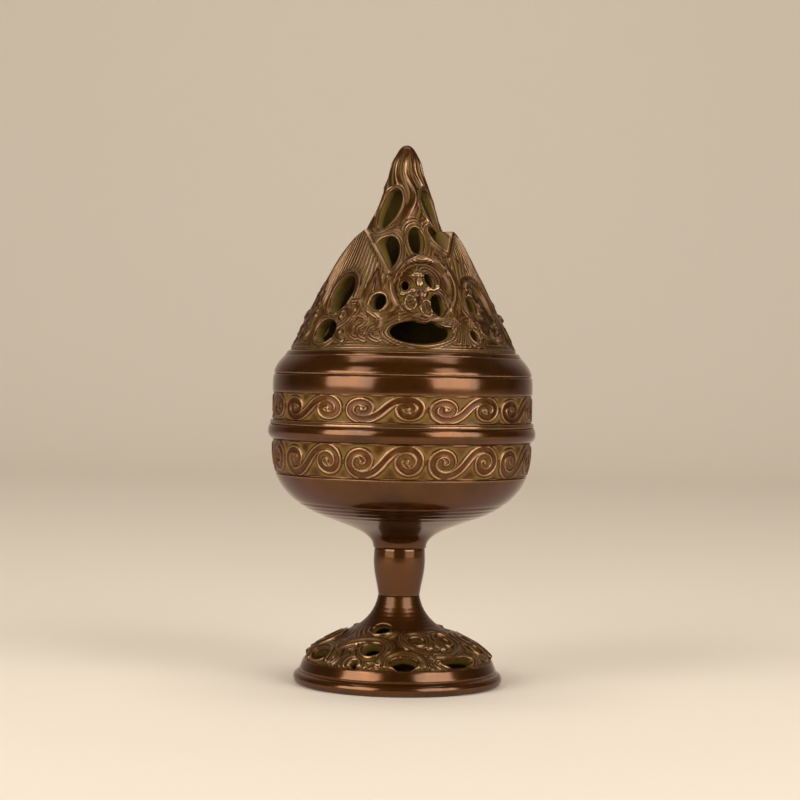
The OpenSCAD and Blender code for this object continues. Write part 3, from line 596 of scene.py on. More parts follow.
# Manes and fins, as patches of short strokes: azimuth, place along the curve, half width, half height, lean
dome_fins = [[-36, 0.3, 1.8, 2.6, 50], [-44, 0.08, 2.2, 2.4, 30], [24, 0.16, 2.6, 2.2, -50],
             [33, 0.27, 3.0, 1.8, 80], [12, 0.62, 2.4, 2.0, 40], [62, 0.08, 2.4, 2.2, 20],
             [118, 0.3, 2.2, 2.4, -40], [154, 0.4, 2.4, 2.0, 50], [196, 0.2, 2.4, 2.2, -30],
             [262, 0.3, 2.4, 2.2, 40]]
# Lengths along the curve between which the relief ends, and the plain trumpet with its turned lines begins
trumpet_from, trumpet_to = 17.5, 22


def up_dome(height):
    """Length along the dome's curve at a height."""
    return np.interp(height, dome_line[:, 1], dome_length)


def dome_place(azimuth, radius, up, middle, place):
    """Distances across and up from a place on the dome."""
    return arc(azimuth, middle, radius), up - np.interp(place, dome_steps, dome_length)


def dome_room(azimuth, radius, height):
    """Distance outside the openings."""
    up = up_dome(height)
    rooms = [oval_room(*dome_place(azimuth, radius, up, *vent[:2]), *vent[2:]) for vent in dome_vents]
    return np.min(rooms, axis=0)


def rounded_line(line, rounds=3):
    """The line with its corners cut off again and again, so that it bends smoothly."""
    points = np.array(line, float)
    for _ in range(rounds):
        before, after = points[:-1], points[1:]
        middle = np.stack([0.75 * before + 0.25 * after, 0.25 * before + 0.75 * after], axis=1).reshape(-1, 2)
        points = np.concatenate([points[:1], middle, points[-1:]])
    return points


def dome_relief(azimuth, radius, height, room):
    """Relief of the foot: the beasts' bodies, and the fine lines on and between them."""
    up = up_dome(height)
    flow = 0.6 * ridges(room - 0.8, 2.0) * hump(room, 0, 6.5)
    body = 0.6 * half_round(room, 1.7)
    for line, middle, place, way in dome_bodies:
        x, y = dome_place(azimuth, radius, up, middle, place)
        close = (np.abs(x) < 20) & (np.abs(y) < 12)
        gap = distance_to(rounded_line(line), way * x[close], y[close])
        tube = body_out * half_round(gap, body_r) * smooth(room[close], 0.1, 0.8)
        scored = 0.42 * ridges(gap, 1.6) * smooth(tube, 0.05, 0.4)
        flow[close] = flow[close] * (1 - smooth(tube, 0, 0.4)) + scored
        body[close] = np.maximum(body[close], tube)
    for middle, place, half_w, half_h, lean in dome_fins:
        x, y = leaned(*dome_place(azimuth, radius, up, middle, place), lean)
        patch = smooth(dome(x, y, half_w, half_h), 0, 0.5) * smooth(room, 0.2, 0.8)
        patch = patch * (1 - smooth(body, 0.1, 0.5))
        flow = flow * (1 - patch) + 0.5 * ridges(x + 0.08 * y * y, 1.2) * patch
    turned_rings = 0.04 * ridges(up, 1.6) * smooth(up, 19, trumpet_to) * smooth(room, 0.5, 2)
    below = 1 - smooth(up, trumpet_from, trumpet_to)
    calm = smooth(up, 0, 0.8)
    collar = 1 - smooth(height, stem_z - 2, stem_z - 1)
    return body * calm * below, (flow * below + turned_rings) * calm * collar


foot_closing = [[rod_hole_r, nut_seat_z], [rod_hole_r, stem_z - tenon_l], [socket_r, stem_z - tenon_l],
                [socket_r, stem_z]]
foot_dome = openwork("foot_dome_openwork", dome_base, dome_counts, dome_room, dome_relief, dome_wall,
                     dome_hollow, foot_closing, bronze_foot, middle_wear=0.47)
fit(foot_dome, "base", "bronze_openwork", "foot_dome")

# Stem
# A plain tapered tube, cast and turned, with a tenon at each end.
# The tenons sit in the foot's collar and in the bowl's neck, and the tie rod runs through the bore.
stem_low, stem_high = size_of("stem")
bowl_z = size_of("bowl")[0][2]
stem_bottom_r, stem_top_r, tenon_r, joint = 6.9, 8.6, 4.8, 0.05
stem_profile = softened(
    [[rod_hole_r, stem_low[2], 0.2], [tenon_r, stem_low[2], 0.3], [tenon_r, stem_z + joint, 0],
     [stem_bottom_r, stem_z + joint, 0.35], [stem_bottom_r + 0.25, stem_z + 2, 1.5],
     [stem_top_r + 0.1, bowl_z - 6.2, 4.6], [stem_top_r - 0.22, bowl_z - joint, 0.4],
     [tenon_r, bowl_z - joint, 0], [tenon_r, stem_high[2], 0.3], [rod_hole_r, stem_high[2], 0.2]])
stem = turned("stem_turned", divided(stem_profile, 0.6), 160, bronze_smooth)
fit(stem, "base", "bronze_smooth", "stem")

# Bowl
# Cast and turned in one with its neck: a deep belly with fine turned lines, sunk grounds for the two scroll
# bands, a roll moulding between them and a plain polished rim that the lid sits on.
bowl_top = size_of("bowl")[1][2]
belly_r, belly_h, belly_power = 43.4, 27, 2.4
belly_z = bowl_z + 6.7 + belly_h
lower_z, moulding_z, upper_z, rim_z = belly_z - 9.7, belly_z + 2, belly_z + 8.5, belly_z + 17.5
band_sink, mouth_r, floor_t = 0.7, 39.5, 3.2
under_band = 0.15


def swell(share):
    """Share of the belly's radius at a share of its depth, or the other way round."""
    return (1 - share**belly_power) ** (1 / belly_power)


def belly_at(z):
    """Radius of the belly curve at a height."""
    return belly_r * swell(np.clip(belly_z - np.asarray(z, float), 0, belly_h) / belly_h)


def ground_at(z):
    """Radius of the scroll bands' sunk ground."""
    return belly_at(z) - band_sink


neck_r, flare_r = 8.8, 24
flare_z = belly_z - belly_h * swell(flare_r / belly_r)
neck = curve([[neck_r, bowl_z], [neck_r, (bowl_z + flare_z) / 2], [17.5, flare_z - 2.6], [flare_r, flare_z]],
             np.linspace(0, 1, 24))
belly_levels = np.arange(flare_z + 0.25, lower_z - 0.2, 0.25)
belly = np.stack([belly_at(belly_levels), belly_levels], axis=1)
turned_lines, line_depth, line_half = [56.2, 57.5, 58.7, 60.1], 0.35, 0.3
for level in turned_lines:
    belly[:, 0] -= line_depth * hump(belly_levels, level, line_half)
edge_line = [[belly_at(lower_z - 0.1) + 0.05, lower_z - 0.1, 0],
             [belly_at(lower_z) + 0.12, lower_z + 0.15, 0.1]]
band_levels = np.linspace(lower_z + 0.5, moulding_z - 0.1, 12)
lower_ground = [[ground_at(z) - under_band, z, 0] for z in band_levels]
roll_z, roll_half = moulding_z + 2.7, 2.1
moulding = [[belly_r - 0.2, moulding_z + 0.1, 0.15], [belly_r + 0.15, moulding_z + 0.3, 0.2]]
moulding += [[belly_r + 1.1 - 0.9 * (1 - math.cos(a)), roll_z + roll_half * math.sin(a), 0]
             for a in np.radians(np.linspace(-78, 78, 13))]
fillets = [[0.1, 2.2, 0.1], [0.55, 2.4, 0.25], [0.5, 3.2, 0.25], [0.1, 3.35, 0.08], [0.15, 3.7, 0.1]]
moulding += [[belly_r + out, roll_z + up, cut] for out, up, cut in fillets]
upper_ground = [[belly_r - band_sink - under_band, z, 0.05] for z in (upper_z, rim_z)]
rim = [[belly_r - 0.45, rim_z + 0.05, 0.1], [belly_r - 0.2, rim_z + 0.45, 0.4],
       [belly_r - 0.12, rim_z + 3.0, 2.2], [belly_r - 0.35, bowl_top - 0.5, 0.5],
       [belly_r - 0.75, bowl_top, 0.3], [mouth_r, bowl_top, 0.4]]
hollow_r = mouth_r * np.sin(np.radians(np.linspace(88, 3, 30)))
hollow = [[r, belly_z - (belly_h - floor_t) * swell(r / mouth_r), 0] for r in hollow_r]
outside = [[x, z, 0] for x, z in np.concatenate([neck, belly])]
socket_top, rod_top = bowl_z + tenon_l, bowl_z + 6.8
bowl_corners = [[0, rod_top, 0], [rod_hole_r, rod_top, 0], [rod_hole_r, socket_top, 0],
                [socket_r, socket_top, 0], [socket_r, bowl_z, 0.2], *outside, *edge_line, *lower_ground,
                *moulding, *upper_ground, *rim, *hollow, [0, belly_z - belly_h + floor_t, 0]]
bowl_profile = divided(softened(bowl_corners), 0.8, closed=False)
bowl = turned("bowl_turned", bowl_profile, 288, bronze_smooth, wobble=0.06)
fit(bowl, "base", "bronze_smooth", "bowl")

# Scroll bands
# Two bands of running S scrolls that short necks join to each other, cast in low relief round the bowl.
# The raised strands are dark and rubbed; the sunk ground keeps a dusty olive patina.
bronze_scroll = bronze("bronze_scroll", dust=(0.150, 0.096, 0.026), skin=(0.082, 0.026, 0.004),
                       rubbed=(0.35, 0.195, 0.092), polish=0.44)
scroll_count, scroll_azimuth, scroll_turns = 10, -7.4, 1.3
scroll_unit = 360 / scroll_count
strand_w, spiral_w, scroll_pitch = 1.7, 4.8, 14.7
ribbon_half, ribbon_out, side_line, side_line_out = 1.9, 0.26, 1.1, 0.3
eye_r, eye_out, join_w, join_h, join_out = 1.0, 0.55, 2.0, 1.1, 0.2
band_columns, band_step, band_margin = 1080, 0.24, 0.45


def scroll_path(size):
    """One S scroll about its middle: the right-hand spiral, the link, and that spiral turned half round."""
    t = np.linspace(0, 1, 34)
    a = math.radians(90) - 2 * math.pi * scroll_turns * t
    r = 1 - 0.72 * t**0.85
    side = scroll_pitch / 2
    right = np.stack([side + spiral_w * r * np.cos(a), size * r * np.sin(a)], axis=1)
    link = curve([[-side, -size], [0.0, -size], [0.0, size], [side, size]], np.linspace(0, 1, 16)[1:-1])
    return np.concatenate([-right[::-1], link, right])


def scroll_relief(x, y, size):
    """Height of one unit of a band: a flat ribbon with a raised line along each side, wound to an S,
    its two round eyes, and the necks that join it to its neighbours."""
    gap = distance_to(scroll_path(size - strand_w / 2), x, y)
    ribbon = ribbon_out * (1 - smooth(gap, ribbon_half - 0.25, ribbon_half + 0.1))
    relief = ribbon + side_line_out * hump(gap, side_line, 0.26)
    eye = np.minimum(*[np.hypot(x - side * scroll_pitch / 2, y) for side in (-1, 1)])
    relief = np.maximum(relief, eye_out * half_round(eye, eye_r))
    end = math.radians(scroll_unit) * (belly_r - band_sink) / 2
    off_neck = oval_room(np.abs(x) - end, y, join_w, join_h)
    return np.maximum(relief, join_out * (1 - smooth(off_neck, -0.3, 0.05)))


def scroll_band(name, low_z, high_z, node):
    """A band in relief that goes once round the bowl, with a plain back sunk in the bowl's wall."""
    rows = round((high_z - low_z) / band_step)
    turn, ring, faces = ring_mesh([band_columns] * (rows + 1))
    height = low_z + (high_z - low_z) * ring / rows
    ground = ground_at(height)
    azimuth = 360 * turn - 180 - scroll_azimuth
    x = np.radians((azimuth + scroll_unit / 2) % scroll_unit - scroll_unit / 2) * ground
    relief = scroll_relief(x, height - (low_z + high_z) / 2, (high_z - low_z) / 2 - band_margin)
    margin = np.minimum(height - low_z, high_z - height)
    relief = np.maximum(relief * smooth(margin, 0.1, 0.35), 0.3 * hump(margin, 0.15, 0.25))
    outer = around(turn, ground + relief, height)
    j = np.arange(band_columns)
    k = (j + 1) % band_columns
    back_z = np.repeat([low_z, high_z], band_columns)
    back = around(np.tile(j / band_columns, 2), ground_at(back_z) - 2 * under_band, back_z)
    wear = np.append(0.47 + stands_out(relief, faces, 40) / 0.45, np.full(len(back), 0.2))
    starts = [0, len(outer), len(outer) + band_columns, rows * band_columns]
    strips = [np.c_[a + k, a + j, b + j, b + k] for a, b in zip(starts, starts[1:])]
    uv = np.stack([turn, 0.12 + 0.87 * ring / rows], axis=1)
    corner_uv = [kept_whole(uv[faces])]
    for v in (0.01, 0.04, 0.07):
        corner_uv.append(row_uv([[j + 1, v], [j, v], [j, v + 0.02], [j + 1, v + 0.02]], band_columns))
    points = np.concatenate([outer, back])
    band = make_piece(name, points, [faces, *strips], corner_uv, wear, bronze_scroll)
    fit(band, "base", "bronze_scroll", node)


scroll_band("lower_scroll_band", lower_z + 0.45, moulding_z, "lower_scrollwork")
scroll_band("upper_scroll_band", upper_z, rim_z, "upper_scrollwork")

# Tie rod, washer and nut
# Plain steel fixings inside the foot: a threaded rod up through the stem into the bowl,
# drawn tight from below by a nut on a washer.


def steel():
    """Plain zinc-dull steel."""
    material, tree, shader = new_material("steel_fixing")
    speck = noise(tree, 500, 3)
    colour = mixed_colour(tree, speck, (0.33, 0.33, 0.35, 1), (0.46, 0.46, 0.48, 1))
    tree.links.new(colour, shader["Base Color"])
    tree.links.new(mixed(tree, speck, 0.3, 0.5), shader["Roughness"])
    shader["Metallic"].default_value = 1.0
    return material


steel_fixing = steel()


def shaped(name, profile, columns, radius_at, material):
    """A profile turned about the axis, with its radius worked out anew from the angle, radius and height."""
    piece = turned(name, profile, columns, material, wobble=0)
    mesh = piece.data
    place = np.zeros(len(mesh.vertices) * 3)
    mesh.vertices.foreach_get("co", place)
    x, y, z = place.reshape(-1, 3).T / MM
    r = np.hypot(x, y) + 1e-9
    scale = radius_at(np.arctan2(x, -y), r, z) / r
    mesh.vertices.foreach_set("co", np.stack([x * scale, y * scale, z], 1).ravel() * MM)
    return piece


rod_low, rod_high = size_of("tie_rod")
rod_r, thread_pitch, thread_depth, rod_cut = rod_high[0], 1.0, 0.45, 0.7


def thread_at(angle, radius, height):
    """Radius of a screw thread at both ends of the rod, plain between."""
    wave = np.abs((height / thread_pitch - angle / (2 * np.pi)) % 1 - 0.5) * 2
    lower = 1 - smooth(height, rod_low[2] + 11, rod_low[2] + 12)
    upper = smooth(height, rod_high[2] - 6, rod_high[2] - 5)
    cut = thread_depth * wave * np.maximum(lower, upper)
    return np.where(radius > rod_r - 0.05, radius - cut, radius)


rod_corners = [[0, rod_low[2]], [rod_r - rod_cut, rod_low[2]], [rod_r, rod_low[2] + rod_cut],
               [rod_r, rod_high[2] - rod_cut], [rod_r - rod_cut, rod_high[2]], [0, rod_high[2]]]
rod_profile = divided(np.array(rod_corners), 0.2, closed=False)
tie_rod = shaped("tie_rod_threaded", rod_profile, 48, thread_at, steel_fixing)
fit(tie_rod, "base", "steel_fixing", "tie_rod")

washer_low, washer_high = size_of("tie_washer")
washer_profile = softened([[rod_hole_r, washer_low[2], 0.2], [washer_high[0], washer_low[2], 0.3],
                           [washer_high[0], washer_high[2], 0.3], [rod_hole_r, washer_high[2], 0.2]])
tie_washer = turned("tie_washer_plain", divided(washer_profile, 0.6), 96, steel_fixing, wobble=0)
fit(tie_washer, "base", "steel_fixing", "tie_washer")

nut_low, nut_high = size_of("tie_nut")
nut_flat, nut_cut, nut_hole_cut = nut_high[1], 0.7, 0.4
nut_corner = nut_flat / math.cos(math.radians(30))
nut_face_r = nut_flat * 0.96


def hexagon_at(angle, radius, height):
    """Radius of a hexagon with corners along X, turned off to a cone at both ends."""
    flat = nut_flat / np.cos((angle - np.pi / 2 + np.pi / 6) % (np.pi / 3) - np.pi / 6)
    return np.where(radius > nut_flat * 0.9, np.minimum(radius, flat), radius)


nut_corners = [[rod_hole_r + nut_hole_cut, nut_low[2]], [nut_face_r, nut_low[2]],
               [nut_corner, nut_low[2] + nut_cut], [nut_corner, nut_high[2] - nut_cut],
               [nut_face_r, nut_high[2]], [rod_hole_r + nut_hole_cut, nut_high[2]],
               [rod_hole_r, nut_high[2] - nut_hole_cut], [rod_hole_r, nut_low[2] + nut_hole_cut]]
nut_profile = divided(np.array(nut_corners), 0.4)
tie_nut = shaped("tie_nut_hexagon", nut_profile, 96, hexagon_at, steel_fixing)
fit(tie_nut, "base", "steel_fixing", "tie_nut")

# Lid rim
# The plain turned ring under the hill. Its bevel is polished, with one fine line near the top,
# and a lip below centres the lid in the bowl's mouth.
lid_low, lid_high = size_of("lid_rim")
lid_z, hill_z = bowl_top + 0.1, lid_high[2]
lid_r, lid_ledge_r, lip_r, lip_t = 42.8, 38.0, 39.2, 2.2
lid_profile = softened(
    [[lip_r - lip_t, lid_low[2], 0.4], [lip_r, lid_low[2], 0.5], [lip_r, lid_z, 0], [lid_r, lid_z, 0.3],
     [lid_r + 0.05, lid_z + 0.9, 0.4], [lid_r - 1.05, lid_z + 3.3, 1.6],
     [lid_ledge_r + 1.55, hill_z - 1.9, 0.6], [lid_ledge_r + 1.1, hill_z - 1.55, 0.12],
     [lid_ledge_r + 1.05, hill_z - 1.3, 0.12], [lid_ledge_r + 0.55, hill_z - 0.35, 0.3],
     [lid_ledge_r - 0.1, hill_z, 0.3], [lid_ledge_r - 4.6, hill_z, 0.3]])
lid_rim = turned("lid_rim_turned", divided(lid_profile, 0.7), 288, bronze_smooth)
fit(lid_rim, "lid", "bronze_smooth", "lid_rim")

# Hill
# The openwork mountain of the lid, cast hollow: overlapping peaks with combed flanks round a spire, smoke
# openings, flowing contour lines, a niche with a small figure, and beasts among the rocks.
bronze_openwork = bronze("bronze_openwork", dust=(0.118, 0.079, 0.020), skin=(0.080, 0.029, 0.006),
                         rubbed=(0.37, 0.225, 0.12), polish=0.44)
hill_h = size_of("lid_hill")[1][2] - hill_z
hill_r, peak_out, peak_ring_r, peak_ring_h, hill_wall = 37.5, 0.5, 17.2, 40, 2.6
ground_r, spire_r, spire_tip_h = hill_r - peak_out, 4.5, 6.9
spire_foot = [spire_r, hill_h - spire_tip_h]
flank_ends = [[ground_r, 0], [0.65 * ground_r, 0.29 * hill_h], [0.26 * ground_r, 0.6 * hill_h], spire_foot]
spire_ends = [spire_foot, [0.9 * spire_r, hill_h - spire_tip_h / 2], [spire_r / 2, hill_h], [0.25, hill_h]]
flank_line = curve(flank_ends, np.linspace(0, 1, 300))
spire_line = curve(spire_ends, np.linspace(0, 1, 80))
hill_base = evenly(np.concatenate([flank_line, spire_line[1:]]), 0.3) + [0, hill_z]
hill_counts = [720 if r > 12.4 else 360 if r > 5.2 else 180 if r > 2.4 else 90 for r in hill_base[:, 0]]
for k in range(1, len(hill_counts)):
    hill_counts[k] = max(hill_counts[k], hill_counts[k - 1] // 2)
hill_hollow = int(np.argmax(hill_base[:, 1] > hill_z + 0.78 * hill_h))

# Peaks: azimuth, height of the tip, half width at the foot, fullness of the flanks, how far it is set back,
# from where to where its step rises, and how far its border stands out
peaks = [[-50, 40.2, 30, 1.65, 0, -0.35, 0.45, 0.4], [66, 40.3, 21, 2.5, 0.1, -0.3, 0.4, 0.15],
         [126, 36, 26, 1.8, 0.05, -0.6, 1.2, 0.4], [184, 39.6, 27, 1.8, 0.15, -0.6, 1.2, 0.4],
         [240, 35.2, 24, 1.9, 0.2, -0.6, 1.2, 0.4]]
# The peak that carries the niche has no border and no comb. The small ones have the first four values only
niche_peak = [14, 31.8, 12.6, 5, 0.25, -2.0, 0.2]
small_peaks = [[middle, tip, 9, 1.3] for middle, tip in
               ([-21, 28.5], [100, 27], [154, 29], [212, 28], [268, 27])]
small_peak_out, comb_out, comb_pitch = 0.5, 0.75, 3.4
# The ground is banked up beside the peaks, to a share of their step and over a width
bank_share, bank_w = 0.9, 5.0
# Openings: azimuth, height above the seat, half width, half height, lean. Peaks stand before the upper ones
upper_vents = 30
hill_vents = [[-35, 46.9, 3.6, 6.7, 12], [61, 47.3, 3.5, 6.2, -8], [172, 48.0, 2.8, 5.1, 10],
              [262, 47.3, 3.1, 5.8, -8], [-18, 31.3, 4.2, 6.0, 0], [13.5, 36.0, 2.6, 4.5, 0],
              [48, 37.0, 3.8, 4.2, -10], [96, 34.3, 2.4, 4.6, 0], [148, 34.6, 2.4, 3.9, 4],
              [218, 34.6, 2.4, 3.9, -4], [268, 34.3, 2.3, 4.4, 0], [-46, 18.2, 4.3, 6.2, 14],
              [-16.5, 15.6, 2.3, 2.6, 25], [-47.5, 6.2, 4.5, 3.6, 0], [22.5, 14.8, 2.2, 3.5, 0],
              [0.5, 21.0, 1.3, 1.35, 0], [19, 22.8, 1.0, 2.2, -25], [41, 5.2, 1.2, 1.9, -30],
              [49, 15.2, 1.4, 2.4, 0], [84, 6.2, 4.8, 3.6, 0], [96, 17.8, 4.0, 5.8, 0],
              [118, 16.1, 2.4, 2.8, 0], [120, 6.2, 4.6, 3.4, 0], [204, 6.2, 4.6, 3.7, 0],
              [143, 16.5, 2.4, 3.4, 0], [170, 17.8, 2.0, 3.2, 0], [209, 17.0, 2.4, 4.0, 0],
              [245, 6.2, 4.4, 3.4, 0], [250, 18.5, 3.8, 5.6, 0], [272, 15.1, 2.3, 2.8, 0],
              [270, 6.2, 4.4, 3.6, 0]]
# The wide opening at the front, and the rocks that hang into it: across and up from its middle, half sizes
front_vent = [9.5, 6.1, 10.6, 3.7]
front_rocks = [[1.0, 5.5, 3.6, 2.6], [8.6, 4.7, 3.7, 3.2]]
# Niches: azimuth, height, half width, half height. Carving: where the hollow starts and is full, its depth,
# where the frame lies and how far it stands out, and how far the contour lines fade inside
niches = [[14, 20.5, 10.2, 9.6], [56, 13.5, 7.0, 9.5]]
niche_carving = [[0.5, 1.9, 1.4, -0.4, 0.5, 0.6], [0.3, 1.6, 1.1, -0.3, 0.4, 0.7]]
figure_azimuth, figure_height = 10.6, 18.6
# The figure's head, headdress, robe and skirt: across and up from its middle, half width, half height, lift.
# Then its round knees, and the lines of its sleeves
figure_shapes = [[0.2, 3.8, 1.5, 2.0, 1.5], [0, 6.2, 2.5, 1.1, 1.2], [0.6, 0.2, 2.5, 2.0, 1.4],
                 [-0.4, -2.2, 1.8, 2.6, 1.0]]
figure_knees = [[-3.3, -2.8, 2.1, 2.6], [1.9, -4.6, 2.2, 2.9]]
figure_sleeves = [[[-0.8, 0.9], [-2.6, 1.1], [-4.2, 0.5], [-5.8, 0.0]],
                  [[2.0, 1.0], [3.4, 2.0], [4.8, 1.6], [6.4, 2.4]]]
# Beasts among the rocks: winding lines of azimuth and height, and round knobs of azimuth, height and radius
beast_lines = [
    [[-40.8, 12.2], [-38.7, 13.6], [-35, 13.6], [-32.6, 11.0], [-36, 8.6], [-40, 7.4], [-38, 4.4],
     [-33, 3.4]],
    [[-33.5, 15.6], [-28.5, 15.8], [-25.6, 13.2], [-28.6, 10.6], [-31.6, 8.4], [-29.6, 5.4], [-25, 4.2]],
    [[-25, 11.6], [-21.4, 10.8], [-21.6, 8.0], [-25.4, 7.4], [-24.2, 4.6], [-20, 3.6]],
    [[-21, 13.2], [-17.0, 11.8], [-13.6, 10.6], [-14.4, 7.6], [-18.4, 7.0], [-17.2, 4.4], [-13, 3.6]]]
beast_knobs = [[-38.4, 11.2, 1.7], [-29.2, 13.2, 1.5], [-35.4, 5.9, 1.3], [-27.6, 7.6, 1.1],
               [-20.6, 5.6, 1.1]]
cliff_lines = [[[47, 20.6], [51, 22.6], [55.4, 20.8], [55, 17.4], [51.5, 15.6], [53, 12.6], [57.5, 12.8]],
               [[60, 18.2], [62.5, 15], [59.5, 12.4], [62.4, 9.6], [66, 11.4]],
               [[46.5, 12.4], [49.0, 9.4], [54.4, 10.0], [55.4, 6.6], [51, 5.2], [47, 7.0]],
               [[58.6, 8.0], [62, 6.2], [64.8, 8.4], [67, 5.2], [62.4, 3.4]]]
cliff_knobs = [[58.5, 16.0, 2.1], [51.6, 7.6, 2.0], [63.5, 13.0, 1.9], [58.0, 10.2, 2.0], [60.2, 4.6, 1.8],
               [50.4, 18.6, 1.9]]
# Both groups repeat round the back, turned by these azimuths. Their widths are measured at one radius
beast_turns = [0, 132, 196, 262]
cliff_turns = [0, 54, 124, -130]
strand_r, beast_r, beast_top = 1.2, 33, 26
hair_azimuth, hair_height, hair_w, hair_h = -27, 9.5, 9.5, 6.5
# Where the lines of the right-hand flank meet, and how far their fan spreads
fan_azimuth, fan_height, fan_reach = 36, 11.5, 11


def tier_at(height):
    """Radius of the peaks' straight flank."""
    return hill_r + (peak_ring_r - hill_r) * height / peak_ring_h


def skin_radius(radius, height):
    """Radius at which widths are measured: near the flank of the peaks, and the spire's own above them."""
    step = np.maximum(tier_at(height) - radius, 0)
    return radius + 0.8 * step * (1 - smooth(height, 33, 42))


def peak_inside(azimuth, radius, height, peak):
    """Distance inside a peak's outline, negative outside."""
    middle, tip, half_w, fullness = peak[:4]
    half = half_w * (1 - np.clip(height / tip, 0, 1) ** fullness)
    x = arc(azimuth, middle, skin_radius(radius, height))
    return np.minimum((half - np.abs(x)) * 0.8, (tip - height) * 0.8)


def hill_room(azimuth, radius, z):
    """Distance outside the openings. The upper ones end behind the outlines of the peaks."""
    height = z - hill_z
    wide = skin_radius(radius, height)
    hidden = np.max([peak_inside(azimuth, radius, height, peak) for peak in peaks], axis=0) + 0.6
    middle, place, half_w, half_h = front_vent
    x, y = arc(azimuth, middle, wide), height - place
    room = oval_room(x, y, half_w, half_h)
    for across, up, rock_w, rock_h in front_rocks:
        room = np.maximum(room, -oval_room(x - across, y - up, rock_w, rock_h))
    for middle, place, half_w, half_h, lean in hill_vents:
        opening = oval_room(*leaned(arc(azimuth, middle, wide), height - place, lean), half_w, half_h)
        room = np.minimum(room, np.maximum(opening, hidden) if place > upper_vents else opening)
    return room


def figure_relief(x, y):
    """The small figure in the niche: a plain round head under a broad headdress, robe, sleeves and knees."""
    relief = np.zeros(np.shape(x))
    for across, up, half_w, half_h, lift in figure_shapes:
        relief = np.maximum(relief, lift * dome(x - across, y - up, half_w, half_h))
    for across, up, half_w, half_h in figure_knees:
        inside = -oval_room(x - across, y - up, half_w, half_h)
        relief = np.maximum(np.where(inside > 0.5, 0.4, relief), 1.15 * hump(inside, 0.35, 0.45))
    for sleeve in figure_sleeves:
        relief = np.maximum(relief, 1.2 * half_round(distance_to(rounded_line(sleeve), x, y), 0.95))
    return relief


def beasts(azimuth, height, lines, knobs, turns, ring_depth):
    """Rounded strands and knobs with a ring cut in them, and how near each point is to them."""
    relief, near = np.zeros(len(azimuth)), np.full(len(azimuth), 9.0)
    low = np.flatnonzero(height < beast_top)
    first = lines[0][0][0]
    for turn in turns:
        x = arc(azimuth[low], first + turn, beast_r)
        for line in lines:
            path = rounded_line([[math.radians(a - first) * beast_r, h] for a, h in line])
            close = np.abs(x - path[:, 0].mean()) < 12
            gap = distance_to(path, x[close], height[low][close])
            spots = low[close]
            strand = half_round(gap, strand_r) - 0.3 * hump(gap, 0, 0.4)
            relief[spots] = np.maximum(relief[spots], strand)
            near[spots] = np.minimum(near[spots], gap - strand_r)
        for middle, place, size in knobs:
            off = np.hypot(x - math.radians(middle - first) * beast_r, height[low] - place)
            knob = 1.1 * half_round(off, size) - ring_depth * hump(off, 0.6 * size, 0.24)
            relief[low] = np.maximum(relief[low], knob)
            near[low] = np.minimum(near[low], off - size)
    return relief, near


def hair(azimuth, height, turns):
    """Wavy upright strands that fill the ground between the beasts."""
    strands = np.zeros(len(azimuth))
    for turn in turns:
        x = arc(azimuth, hair_azimuth + turn, beast_r)
        patch = smooth(-oval_room(x, height - hair_height, hair_w, hair_h), 0, 1.2)
        strands = strands + patch * ridges(x + 0.5 * np.sin(height * 0.9 + x / 3), 1.35)
    return strands


